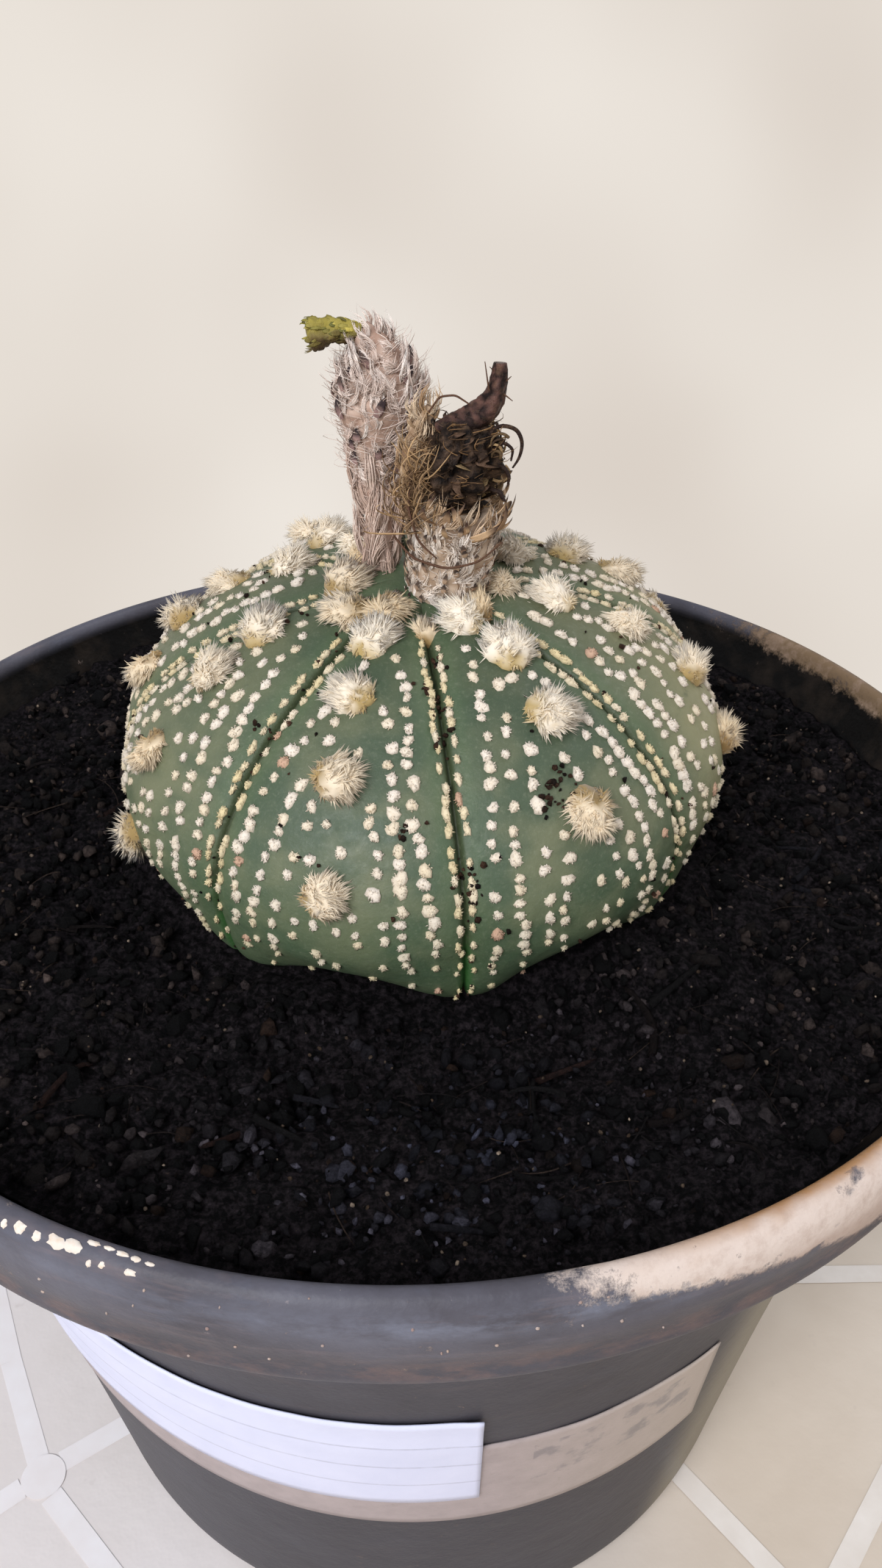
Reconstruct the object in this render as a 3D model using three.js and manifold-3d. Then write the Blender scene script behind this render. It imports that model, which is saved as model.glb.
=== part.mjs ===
// A star cactus with eight ribs and two spent blooms, in a round nursery pot.
// Millimetres, +Z up. The origin is the centre of the pot's base.
// Azimuths are in degrees from the front (-Y) towards the right (+X).
import * as THREE from 'three';
import { mergeVertices } from 'three/addons/utils/BufferGeometryUtils.js';
import Module from 'manifold-3d';

const wasm = await Module();
wasm.setup();

// Driving dimensions of the pot.
const POT_HEIGHT = 107;
const RIM_RADIUS = 75;
const RIM_INNER_RADIUS = 71.8;
const COLLAR_DEPTH = 10;
const WALL_TOP_RADIUS = 70.2;
const WALL_BASE_RADIUS = 53;
const WALL = 1.8;
const WALL_SLOPE = (WALL_TOP_RADIUS - WALL_BASE_RADIUS) / (POT_HEIGHT - COLLAR_DEPTH);
const SHELF_DEPTH = 2.4;
const SHELF_LIP = 2.4;
const FOOT_WIDTH = 4;
const FOOT_INSET = 0.8;
const FOOT_RECESS = 1.6;
const FLOOR = 2.2;
const DRAIN_HOLES = 8;
const DRAIN_RADIUS = 4.5;
const DRAIN_CIRCLE = 36;
const DRAIN_SIDES = 10;
const POT_SIDES = 44;

// The tape and the label, straight strips wound on the cone of the wall.
const CONE_SINE = Math.sin(Math.atan(WALL_SLOPE));
const STRIP_THICKNESS = 0.5;
const STRIP_GAP = 0.3;
const TAPE = { bottom: 342.3, top: 367.3, left: -108, right: 38, steps: 28, layer: 0 };
const LABEL = { bottom: 350.8, top: 375.4, left: -96, right: 6.7, steps: 20, layer: 1 };

// Heights from here on are measured from the plane of the rim.
const SOIL_LEVEL = -7;
const SOIL_GAP = 0.4;
const SOIL_RINGS = [69.4, 64, 58, 52, 46, 41, 36.5, 32, 22];
const SOIL_SIDES = 40;
const SOIL_ROUGHNESS = 1.1;
const SOIL_FOOT_BEVEL = 1.4;
const SOIL_EDGE_DROP = 0.8;
const SOIL_DRIFT = [-0.012, 0.016];
const TRENCH = { x: 2, y: -42, halfLength: 34, halfWidth: 9, depth: 1.6 };
const HEAP = { radius: 30, width: 7, height: 1.4 };
const SOCKET_GAP = { above: 1.2, below: 0.5 };

// The cactus body, a flattened ball with ribs, leaning a little towards the front.
const BODY_CENTRE = [1.5, 0, 7.5];
const BODY_LEAN = [0.121, -0.024];
const BODY_RADIUS = 37.6;
const BODY_HALF_HEIGHT = 22.6;
const RIBS = 8;
const FIRST_FURROW = 6.2;
const FURROW_DEPTH = 2.6;
const FURROW_HALF_WIDTH = 1.7;
const FURROW_STEP = 4;
const RIB_ROUNDING = 1.1;
const FOOT_SCALLOP = 3.3;
const SKIN_END = 66;
const RING_POINTS = 48;
const COPY_RINGS = 12;
const ROOT_RINGS = [[23, -18.8], [9, -23.5], [4, -31], [2, -38]];

// White flecks in rows beside the furrows, larger than life.
const FLECK_ROWS = [2.8, 6.8, 10.8, 14.0];
const FLECK_PITCH = 3.9;
const FLECK_HALF_LENGTH = 1.5;
const FLECK_HALF_WIDTH = 0.95;
const FLECK_HEIGHT = 0.7;
const FLECK_END = 60;

// Woolly tufts along the middle of each rib, one rib a line: distance from the crown and azimuth.
const TUFTS = [
  [9.5, 33], [16, 38], [24.6, 34], [35.6, 31.5],
  [16.5, 84], [25.5, 84], [35.2, 82.5], [44.4, 78.5],
  [14.5, 125], [23, 123], [30, 117], [41, 119],
  [15, 164], [23.5, 164], [33.5, 164], [45, 164],
  [13.2, -149], [20.5, -145], [29, -151], [40.5, -151],
  [18.5, -121], [26, -114], [32, -105], [36.5, -93.5],
  [18.8, -73], [26, -68.5], [36.6, -64.5], [49, -65],
  [12, -24.5], [19.8, -20.5], [29.2, -18.5], [41.6, -17],
];
const TUFT_RADIUS = 2.7;
const TUFT_HEIGHT = 3.6;
const TUFT_POINTS = 7;

// The spent blooms: rows of [x, y, height, radius] up the middle of each tube.
const LEFT_TUBE = [
  [-2.9, 0.8, 27, 2.2], [-3, 1.2, 32, 2.3], [-3.1, 1.7, 36, 2.5], [-3.3, 2.1, 40, 3],
  [-3.3, 2.4, 43.5, 3.8], [-3.1, 2.5, 46.5, 4.9], [-2.9, 2.6, 48.5, 5.4], [-2.6, 2.6, 51, 4.6],
  [-2.6, 2.6, 52.8, 3.2], [-2.7, 2.5, 55.2, 1.9],
];
const LEFT_TIP = [
  [-5, 2.5, 55.7, 1.2], [-6.4, 2.5, 55.9, 1.3], [-8.6, 2.5, 55.7, 1.5], [-10.2, 2.5, 55.5, 2],
];
const RIGHT_TUBE = [
  [3.2, -4, 26, 3.9], [4.3, -4.5, 30, 4.9], [5, -5, 34, 5.3], [5.4, -5.6, 37.5, 5.3],
  [5.8, -6.2, 40, 4.9],
];
const RIGHT_HEAD = [
  [6, -6.3, 40.7, 3.4], [6, -6.8, 42.6, 4.1], [6.1, -7.1, 45, 4.3], [6.1, -7.2, 47.2, 3.6],
  [6.1, -7.2, 49, 2.2],
];
const RIGHT_STUB = [
  [6.6, -7.2, 47.4, 1.7], [8.5, -7.3, 49.6, 1.6], [9.4, -7.2, 51.8, 1.3], [9.7, -7.1, 54.6, 1],
];
const TUBE_SIDES = 10;
const BLOOM_SEAT_GAP = 0.35;
const SCALE_START = 0.2;
const SCALE_SPAN = 0.72;
// The top row of scales leaves room for the tip where it points further left than topLeft.
const LEFT_SCALES = { rows: 6, each: 7, length: 4.4, width: 1.7, lean: 0.45, topLeft: -0.2 };
const RIGHT_SCALES = { rows: 5, each: 9, length: 3.4, width: 1.6, lean: 0.45, topLeft: -2 };
const PETALS = { count: 13, width: 1.5, length: 3.4, low: 41.6, high: 46.6, inset: 3.1 };
const FRAYS = { count: 5, width: 1, length: 2.4, inset: 1.2, back: 0.9 };

const COLOURS = {
  pot: '#6b686f', soil: '#1b1715', body: '#66704f', tube: '#b9a796', tip: '#8f8a3e',
  flower: '#2c211f', tape: '#a39388', label: '#e4e8f4',
};

// A repeatable random number between 0 and 1.
function randomFrom(seed) {
  let state = seed;
  return () => {
    state = (state * 1664525 + 1013904223) % 4294967296;
    return state / 4294967296;
  };
}

function radians(degrees) {
  return THREE.MathUtils.degToRad(degrees);
}

// Turns a closed geometry into a solid that can be joined and cut.
function solidFrom(geometry) {
  const bare = geometry.clone();
  bare.deleteAttribute('normal');
  bare.deleteAttribute('uv');
  const merged = mergeVertices(bare, 1e-4);
  const index = merged.index.array;
  const kept = [];
  for (let i = 0; i < index.length; i += 3) {
    const [a, b, c] = [index[i], index[i + 1], index[i + 2]];
    if (a !== b && b !== c && c !== a) kept.push(a, b, c);
  }
  return new wasm.Manifold(new wasm.Mesh({
    numProp: 3,
    vertProperties: new Float32Array(merged.attributes.position.array),
    triVerts: new Uint32Array(kept),
  }));
}

function geometryFrom(solid) {
  const mesh = solid.getMesh();
  return geometryOf(Array.from(mesh.vertProperties), Array.from(mesh.triVerts));
}

function geometryOf(positions, index) {
  const geometry = new THREE.BufferGeometry();
  geometry.setAttribute('position', new THREE.Float32BufferAttribute(positions, 3));
  geometry.setIndex(index);
  geometry.computeVertexNormals();
  return geometry;
}

function named(name, geometry, colour, roughness) {
  const material = new THREE.MeshStandardMaterial({ color: colour, roughness, metalness: 0 });
  const mesh = new THREE.Mesh(geometry, material);
  mesh.name = name;
  return mesh;
}

// A closed skin through rings of points that all have the same count, with a fan over each end.
function loft(rings) {
  const count = rings[0].length;
  const points = rings.flat();
  const index = [];
  for (let r = 0; r + 1 < rings.length; r++) {
    for (let i = 0; i < count; i++) {
      const j = (i + 1) % count;
      const [a, b] = [r * count + i, r * count + j];
      const [c, d] = [a + count, b + count];
      index.push(a, b, d, a, d, c);
    }
  }
  for (const end of [0, rings.length - 1]) {
    const middle = new THREE.Vector3();
    rings[end].forEach((p) => middle.addScaledVector(p, 1 / count));
    points.push(middle);
    for (let i = 0; i < count; i++) {
      const [a, b] = [end * count + i, end * count + ((i + 1) % count)];
      if (end === 0) index.push(points.length - 1, b, a);
      else index.push(points.length - 1, a, b);
    }
  }
  return geometryOf(points.flatMap((p) => [p.x, p.y, p.z]), index);
}

// Rings of points square to a line of [x, y, z, radius] stations.
function ringsAlong(stations, sides, wobble = () => 1) {
  const centres = stations.map((s) => new THREE.Vector3(s[0], s[1], s[2]));
  return stations.map((station, k) => {
    const ahead = centres[Math.min(k + 1, centres.length - 1)];
    const behind = centres[Math.max(k - 1, 0)];
    const along = ahead.clone().sub(behind).normalize();
    const side = new THREE.Vector3(0, 1, 0).cross(along).normalize();
    const other = along.clone().cross(side);
    return Array.from({ length: sides }, (_, i) => {
      const turn = (2 * Math.PI * i) / sides;
      const reach = station[3] * wobble(k, i);
      return centres[k].clone()
        .addScaledVector(side, reach * Math.cos(turn))
        .addScaledVector(other, reach * Math.sin(turn));
    });
  });
}

// The pot: one closed profile turned about the axis, with drainage holes through its floor. The
// small steps in the profile are the rounded edges of the foot, the collar and the rim.
function potGeometry() {
  const skirt = POT_HEIGHT - COLLAR_DEPTH;
  const shelf = skirt + SHELF_DEPTH;
  const outer = (z) => WALL_BASE_RADIUS + WALL_SLOPE * z;
  const floorTop = FOOT_RECESS + FLOOR;
  const footOuter = WALL_BASE_RADIUS - FOOT_INSET;
  const footInner = footOuter - FOOT_WIDTH;
  const profile = [
    [0, FOOT_RECESS], [footInner - 1, FOOT_RECESS], [footInner, 0], [footOuter, 0],
    [outer(0.9), 0.9], [outer(shelf), shelf], [RIM_RADIUS - SHELF_LIP - 0.2, shelf],
    [RIM_RADIUS - SHELF_LIP, skirt], [RIM_RADIUS - 0.8, skirt], [RIM_RADIUS - 0.3, skirt + 1.6],
    [RIM_RADIUS, POT_HEIGHT - 4.2], [RIM_RADIUS - 0.3, POT_HEIGHT - 1.7],
    [RIM_RADIUS - 1.2, POT_HEIGHT - 0.4], [RIM_RADIUS - 2.1, POT_HEIGHT],
    [RIM_INNER_RADIUS + 0.2, POT_HEIGHT - 0.6], [RIM_INNER_RADIUS, POT_HEIGHT - 1.8],
    [outer(skirt) - WALL, skirt], [outer(floorTop) - WALL, floorTop + 1],
    [outer(floorTop) - WALL - 1, floorTop], [0, floorTop],
  ].map(([r, z]) => new THREE.Vector2(r, z));
  const turned = new THREE.LatheGeometry(profile, POT_SIDES).rotateX(Math.PI / 2);
  let pot = solidFrom(turned);
  for (let k = 0; k < DRAIN_HOLES; k++) {
    const turn = radians((k + 0.5) * (360 / DRAIN_HOLES));
    const hole = new THREE.CylinderGeometry(DRAIN_RADIUS, DRAIN_RADIUS, 12, DRAIN_SIDES);
    hole.rotateX(Math.PI / 2);
    hole.translate(DRAIN_CIRCLE * Math.sin(turn), DRAIN_CIRCLE * Math.cos(turn), floorTop);
    pot = pot.subtract(solidFrom(hole));
  }
  return geometryFrom(pot);
}

// A flat strip rolled on to the cone of the wall. Its sheet measures are x round the wall from the
// front, and the distance from the tip of the cone.
function stripGeometry(strip) {
  const innerLift = STRIP_GAP + strip.layer * (STRIP_THICKNESS + STRIP_GAP);
  const rings = [];
  for (let k = 0; k <= strip.steps; k++) {
    const x = strip.left + ((strip.right - strip.left) * k) / strip.steps;
    const corner = (distance, lift) => {
      const slant = Math.hypot(x, distance);
      const turn = Math.atan2(x, distance) / CONE_SINE;
      const radius = slant * CONE_SINE;
      const z = (radius - WALL_BASE_RADIUS) / WALL_SLOPE;
      const reach = radius + lift;
      return new THREE.Vector3(reach * Math.sin(turn), -reach * Math.cos(turn), z);
    };
    const outerLift = innerLift + STRIP_THICKNESS;
    rings.push([
      corner(strip.top, innerLift), corner(strip.top, outerLift),
      corner(strip.bottom, outerLift), corner(strip.bottom, innerLift),
    ]);
  }
  return loft(rings);
}

// The way from the crown down the body's side: angle, distance along the skin, and the radius of a
// flat map of the skin that keeps small shapes true.
const MERIDIAN = (() => {
  const step = 0.002;
  const table = [{ angle: 0.01, length: 0.01 * BODY_RADIUS, map: 0.01 * BODY_RADIUS }];
  while (table.at(-1).angle < 2.6) {
    const last = table.at(-1);
    const angle = last.angle + step;
    const stretch = Math.hypot(BODY_RADIUS * Math.cos(angle), BODY_HALF_HEIGHT * Math.sin(angle));
    table.push({
      angle,
      length: last.length + stretch * step,
      map: last.map * Math.exp((stretch * step) / (BODY_RADIUS * Math.sin(angle))),
    });
  }
  return table;
})();

function meridianAt(length) {
  let low = 0;
  let high = MERIDIAN.length - 1;
  while (high - low > 1) {
    const middle = (low + high) >> 1;
    if (MERIDIAN[middle].length > length) high = middle;
    else low = middle;
  }
  return MERIDIAN[length <= MERIDIAN[0].length ? 0 : high];
}

function radiusAt(length) {
  return BODY_RADIUS * Math.sin(meridianAt(length).angle);
}

// Degrees from the nearest furrow.
function fromFurrow(azimuth) {
  const rib = 360 / RIBS;
  const turned = (azimuth - FIRST_FURROW) / rib;
  return (turned - Math.round(turned)) * rib;
}

// A point on the body, lifted square to the skin. The furrows are left out for the soil's socket.
function bodyPoint(angle, azimuth, lift, withFurrows = true) {
  const out = BODY_RADIUS * Math.sin(angle);
  const height = BODY_HALF_HEIGHT * Math.cos(angle);
  const normal = new THREE.Vector2(out / BODY_RADIUS ** 2, height / BODY_HALF_HEIGHT ** 2).normalize();
  const away = Math.abs(radians(fromFurrow(azimuth))) * out;
  const fade = THREE.MathUtils.smoothstep(out, 3, 14);
  const groove = Math.max(0, 1 - away / FURROW_HALF_WIDTH) * FURROW_DEPTH;
  const round = RIB_ROUNDING * Math.exp(-((away / 6) ** 2));
  const sink = fade * ((withFurrows ? groove : 0) + round);
  const low = THREE.MathUtils.smoothstep(angle, radians(94), radians(130));
  const scallop = FOOT_SCALLOP * low * Math.cos(radians(fromFurrow(azimuth) * RIBS));
  const reach = out + normal.x * (lift - sink) + scallop;
  const z = height + normal.y * (lift - sink);
  const turn = radians(azimuth);
  return new THREE.Vector3(reach * Math.sin(turn), -reach * Math.cos(turn), z);
}

// The points that the skin is stretched over, { length, azimuth }, and the mounds that rise from it:
// a mound's foot is a ring of those points.
function skinPlan() {
  const random = randomFrom(11);
  const rib = 360 / RIBS;
  const sites = [];
  const mounds = [];
  const place = (length, azimuth) => bodyPoint(meridianAt(length).angle, azimuth, 0);
  const clearOf = (point, reach) => mounds.every((m) => m.point.distanceTo(point) > m.reach + reach);
  const addMound = (mound) => {
    const foot = [];
    for (let i = 0; i < mound.sides; i++) {
      foot.push(sites.length);
      sites.push(moundSite(mound, i, 1));
    }
    mounds.push({ ...mound, foot, point: place(mound.length, mound.azimuth), reach: mound.across });
  };
  for (const [length, azimuth] of TUFTS) {
    const size = 0.86 + 0.24 * random();
    addMound({
      length, azimuth, down: TUFT_RADIUS * size, across: TUFT_RADIUS * size,
      height: TUFT_HEIGHT * size, sides: TUFT_POINTS, phase: random(), brush: true,
    });
  }
  for (let k = 0; k < RIBS; k++) {
    const furrow = FIRST_FURROW + k * rib;
    for (let length = 5; length < SKIN_END - 2; length += FURROW_STEP) {
      const lip = THREE.MathUtils.radToDeg((0.75 * FURROW_HALF_WIDTH) / radiusAt(length));
      for (const side of [-1, 0, 1]) sites.push({ length, azimuth: furrow + side * lip });
    }
    for (const side of [-1, 1]) {
      FLECK_ROWS.forEach((offset, row) => {
        const start = 7 + FLECK_PITCH * (0.5 * (row % 2) + 0.25 * side);
        for (let length = start; length < FLECK_END; length += FLECK_PITCH) {
          const at = length + (random() - 0.5) * 0.5;
          const size = 0.88 + 0.22 * random();
          const radius = radiusAt(at);
          if (offset + FLECK_HALF_WIDTH > radians(rib / 2) * radius) continue;
          const azimuth = furrow + side * THREE.MathUtils.radToDeg(offset / radius);
          if (!clearOf(place(at, azimuth), FLECK_HALF_LENGTH * size)) continue;
          addMound({
            length: at, azimuth, down: FLECK_HALF_LENGTH * size, across: FLECK_HALF_WIDTH * size,
            height: FLECK_HEIGHT * size, sides: 4, phase: 0, brush: false,
          });
        }
      });
    }
  }
  sites.push({ length: 0, azimuth: 0 });
  for (let i = 0; i < RING_POINTS; i++) {
    sites.push({ length: SKIN_END, azimuth: FIRST_FURROW + (360 * i) / RING_POINTS });
  }
  return { sites, mounds };
}

// A point of a mound's ring, which has the given share of the size of its foot.
function moundSite(mound, i, share) {
  const turn = ((i + mound.phase) / mound.sides) * 2 * Math.PI;
  const sideways = (share * mound.across * Math.sin(turn)) / radiusAt(mound.length);
  return {
    length: mound.length + share * mound.down * Math.cos(turn),
    azimuth: mound.azimuth + THREE.MathUtils.radToDeg(sideways),
  };
}

function pointOf({ length, azimuth }, lift) {
  return bodyPoint(meridianAt(length).angle, azimuth, lift);
}

// Puts a mound over the flat patch inside its foot: a pyramid for a fleck, a jagged crest for a tuft.
function raiseMound(mound, points, index) {
  let ring = mound.foot;
  if (mound.brush) {
    const crest = [];
    for (let i = 0; i < mound.sides; i++) {
      crest.push(points.length);
      points.push(pointOf(moundSite(mound, i, 0.78), mound.height * (i % 2 ? 1 : 0.68)));
    }
    for (let i = 0; i < mound.sides; i++) {
      const j = (i + 1) % mound.sides;
      index.push(ring[i], ring[j], crest[j], ring[i], crest[j], crest[i]);
    }
    ring = crest;
  }
  const top = points.length;
  points.push(pointOf(mound, mound.brush ? mound.height * 0.85 : mound.height));
  for (let i = 0; i < mound.sides; i++) index.push(top, ring[i], ring[(i + 1) % mound.sides]);
}

// Joins points of a plane into triangles so that no point lies inside another triangle's circle.
function triangulate(points) {
  const far = 1e5;
  const all = [...points, [-far, -far], [far, -far], [0, far]];
  const circle = (a, b, c) => {
    const [ax, ay] = all[a];
    const [bx, by] = [all[b][0] - ax, all[b][1] - ay];
    const [cx, cy] = [all[c][0] - ax, all[c][1] - ay];
    const d = 2 * (bx * cy - by * cx);
    const x = (cy * (bx * bx + by * by) - by * (cx * cx + cy * cy)) / d;
    const y = (bx * (cx * cx + cy * cy) - cx * (bx * bx + by * by)) / d;
    return { corners: [a, b, c], x: ax + x, y: ay + y, reach: x * x + y * y };
  };
  const n = points.length;
  let triangles = [circle(n, n + 1, n + 2)];
  points.forEach(([px, py], p) => {
    const edges = new Map();
    triangles = triangles.filter((t) => {
      if ((px - t.x) ** 2 + (py - t.y) ** 2 >= t.reach) return true;
      for (let i = 0; i < 3; i++) {
        const [a, b] = [t.corners[i], t.corners[(i + 1) % 3]];
        if (!edges.delete(`${b},${a}`)) edges.set(`${a},${b}`, [a, b]);
      }
      return false;
    });
    for (const [a, b] of edges.values()) triangles.push(circle(a, b, p));
  });
  return triangles.map((t) => t.corners).filter((corners) => corners.every((c) => c < n));
}

// The cactus body: the skin with its mounds, closed below by rings that narrow to the root.
function bodyGeometry() {
  const { sites, mounds } = skinPlan();
  const random = randomFrom(2);
  // A hair of scatter keeps four points off one circle.
  const flat = sites.map(({ length, azimuth }) => {
    const radius = (length === 0 ? 0 : meridianAt(length).map) + 0.002 * random();
    return [radius * Math.sin(radians(azimuth)), -radius * Math.cos(radians(azimuth))];
  });
  const points = sites.map((site) => pointOf(site, 0));
  const owner = new Map();
  mounds.forEach((mound) => mound.foot.forEach((site) => owner.set(site, mound)));
  const inside = new Map(mounds.map((mound) => [mound, []]));
  const index = [];
  for (const corners of triangulate(flat)) {
    const mound = owner.get(corners[0]);
    if (mound && corners.every((c) => owner.get(c) === mound)) inside.get(mound).push(corners);
    else index.push(...corners);
  }
  inside.forEach((patch, mound) => {
    if (patch.length === mound.sides - 2) raiseMound(mound, points, index);
    else index.push(...patch.flat());
  });
  let above = sites.length - RING_POINTS;
  for (const [radius, height] of ROOT_RINGS) {
    const start = points.length;
    for (let i = 0; i < RING_POINTS; i++) {
      const turn = radians(FIRST_FURROW + (360 * i) / RING_POINTS);
      points.push(new THREE.Vector3(radius * Math.sin(turn), -radius * Math.cos(turn), height));
    }
    for (let i = 0; i < RING_POINTS; i++) {
      const j = (i + 1) % RING_POINTS;
      index.push(above + i, start + i, start + j, above + i, start + j, above + j);
    }
    above = start;
  }
  points.push(new THREE.Vector3(0, 0, ROOT_RINGS.at(-1)[1]));
  for (let i = 0; i < RING_POINTS; i++) {
    index.push(above + i, points.length - 1, above + ((i + 1) % RING_POINTS));
  }
  return geometryOf(points.flatMap((p) => [p.x, p.y, p.z]), index);
}

// A plain copy of the body without furrows, flecks or tufts, thicker by the given gaps.
function bodyCopy(gapAbove, gapBelow, sides) {
  const rings = [];
  for (const [radius, height] of [...ROOT_RINGS].reverse()) {
    rings.push(Array.from({ length: sides }, (_, i) => {
      const turn = radians(FIRST_FURROW + (360 * i) / sides);
      const reach = radius + gapBelow;
      return new THREE.Vector3(reach * Math.sin(turn), -reach * Math.cos(turn), height - gapBelow);
    }));
  }
  const lowest = meridianAt(SKIN_END).angle;
  for (let k = 0; k <= COPY_RINGS; k++) {
    const gap = k === 0 ? (gapBelow + gapAbove) / 2 : gapAbove;
    const angle = Math.max(lowest * (1 - k / COPY_RINGS), 0.02);
    rings.push(Array.from({ length: sides }, (_, i) => {
      const azimuth = FIRST_FURROW + (360 * i) / sides;
      return bodyPoint(angle, azimuth, gap, false);
    }));
  }
  return loft(rings);
}

function leanBody(object) {
  object.position.set(...BODY_CENTRE);
  object.rotation.set(BODY_LEAN[0], BODY_LEAN[1], 0);
  object.updateMatrix();
  return object.matrix;
}

// Height of the soil: it falls a little to the front and right, with a heap round the plant and a
// trench in front of it.
function soilHeight(radius, turn, random) {
  const [x, y] = [radius * Math.cos(turn), radius * Math.sin(turn)];
  const drift = SOIL_DRIFT[0] * x + SOIL_DRIFT[1] * y;
  const [across, along] = [(x - TRENCH.x) / TRENCH.halfLength, (y - TRENCH.y) / TRENCH.halfWidth];
  const trench = TRENCH.depth * Math.exp(-(across ** 2) - along ** 2);
  const heap = HEAP.height * Math.exp(-(((radius - HEAP.radius) / HEAP.width) ** 2));
  return SOIL_LEVEL + drift - trench + heap + SOIL_ROUGHNESS * (2 * random() - 1);
}

// The soil: a plug that fills the pot, with a lumpy top and a socket that the plant stands in.
function soilGeometry() {
  const random = randomFrom(5);
  const floorTop = FOOT_RECESS + FLOOR - POT_HEIGHT;
  const inside = (z) => WALL_BASE_RADIUS + WALL_SLOPE * (z + POT_HEIGHT) - WALL - SOIL_GAP;
  const circle = (radius, height) => Array.from({ length: SOIL_SIDES }, (_, i) => {
    const turn = (2 * Math.PI * i) / SOIL_SIDES;
    return new THREE.Vector3(radius * Math.cos(turn), radius * Math.sin(turn), height(radius, turn));
  });
  const rings = [
    circle(inside(floorTop) - SOIL_FOOT_BEVEL, () => floorTop + SOIL_GAP),
    circle(inside(floorTop + 2), () => floorTop + 2),
    circle(inside(-11), () => -11),
  ];
  for (const radius of SOIL_RINGS) {
    const level = radius === SOIL_RINGS[0] ? () => SOIL_LEVEL - SOIL_EDGE_DROP : soilHeight;
    const ring = circle(Math.min(radius, inside(SOIL_LEVEL)), (r, turn) => level(r, turn, random));
    if (radius !== SOIL_RINGS[0]) {
      ring.forEach((p) => p.applyAxisAngle(new THREE.Vector3(0, 0, 1), 0.07 * (random() - 0.5)));
    }
    rings.push(ring);
  }
  const socket = bodyCopy(SOCKET_GAP.above, SOCKET_GAP.below, RING_POINTS);
  socket.applyMatrix4(leanBody(new THREE.Object3D()));
  return geometryFrom(solidFrom(loft(rings)).subtract(solidFrom(socket)));
}

// A thin pointed scale that rises from the side of a tube, its root sunk in the tube.
function scale(root, out, up, size) {
  const across = out.clone().cross(up).normalize();
  const tip = root.clone()
    .addScaledVector(up, size.length * (1 - size.lean))
    .addScaledVector(out, size.length * size.lean);
  const corner = (sideways, deep, high) => root.clone()
    .addScaledVector(across, sideways * size.width).addScaledVector(out, deep).addScaledVector(up, high);
  const base = [corner(-0.5, 0, -0.4), corner(0.5, 0, -0.4), corner(0, -1.1, 0.6)];
  const positions = [...base, tip].flatMap((p) => [p.x, p.y, p.z]);
  const index = [0, 1, 2, 0, 3, 1, 1, 3, 2, 2, 3, 0];
  const solid = solidFrom(geometryOf(positions, index));
  return solid.volume() > 0 ? solid : solidFrom(geometryOf(positions, index.reverse()));
}

// A woolly flower tube: a lofted core with rings of scales, cut to sit on the crown.
function tubeSolid(stations, scales, seed) {
  const random = randomFrom(seed);
  const rings = ringsAlong(stations, TUBE_SIDES, () => 0.94 + 0.12 * random());
  let tube = solidFrom(loft(rings));
  const curve = new THREE.CatmullRomCurve3(stations.map((s) => new THREE.Vector3(s[0], s[1], s[2])));
  for (let row = 0; row < scales.rows; row++) {
    const t = SCALE_START + (SCALE_SPAN * row) / (scales.rows - 1);
    const centre = curve.getPoint(t);
    const along = curve.getTangent(t);
    const at = t * (stations.length - 1);
    const k = Math.min(Math.floor(at), stations.length - 2);
    const radius = THREE.MathUtils.lerp(stations[k][3], stations[k + 1][3], at - k);
    for (let i = 0; i < scales.each; i++) {
      const turn = (2 * Math.PI * (i + 0.5 * (row % 2) + 0.3 * random())) / scales.each;
      const side = new THREE.Vector3(0, 1, 0).cross(along).normalize();
      const out = side.applyAxisAngle(along, turn);
      if (row === scales.rows - 1 && out.x < scales.topLeft) continue;
      const root = centre.clone().addScaledVector(out, radius * 0.93);
      tube = tube.add(scale(root, out, along, scales));
    }
  }
  return tube;
}

// Cuts a bloom's foot to the shape of the crown, with a small gap between the two.
function seated(solid) {
  const crown = bodyCopy(BLOOM_SEAT_GAP, BLOOM_SEAT_GAP, RING_POINTS);
  crown.applyMatrix4(leanBody(new THREE.Object3D()));
  return solid.subtract(solidFrom(crown));
}

// A withered petal: a narrow strip that curls over towards its tip.
function curledPetal(root, out, up, length, width, curl) {
  const stations = [];
  const point = root.clone();
  for (let k = 0; k < 4; k++) {
    stations.push([point.x, point.y, point.z, (width / 2) * (1 - 0.2 * k)]);
    const bend = curl * k;
    const step = up.clone().multiplyScalar(Math.cos(bend)).addScaledVector(out, Math.sin(bend));
    point.addScaledVector(step, length / 3);
  }
  return solidFrom(loft(ringsAlong(stations, 4)));
}

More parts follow.
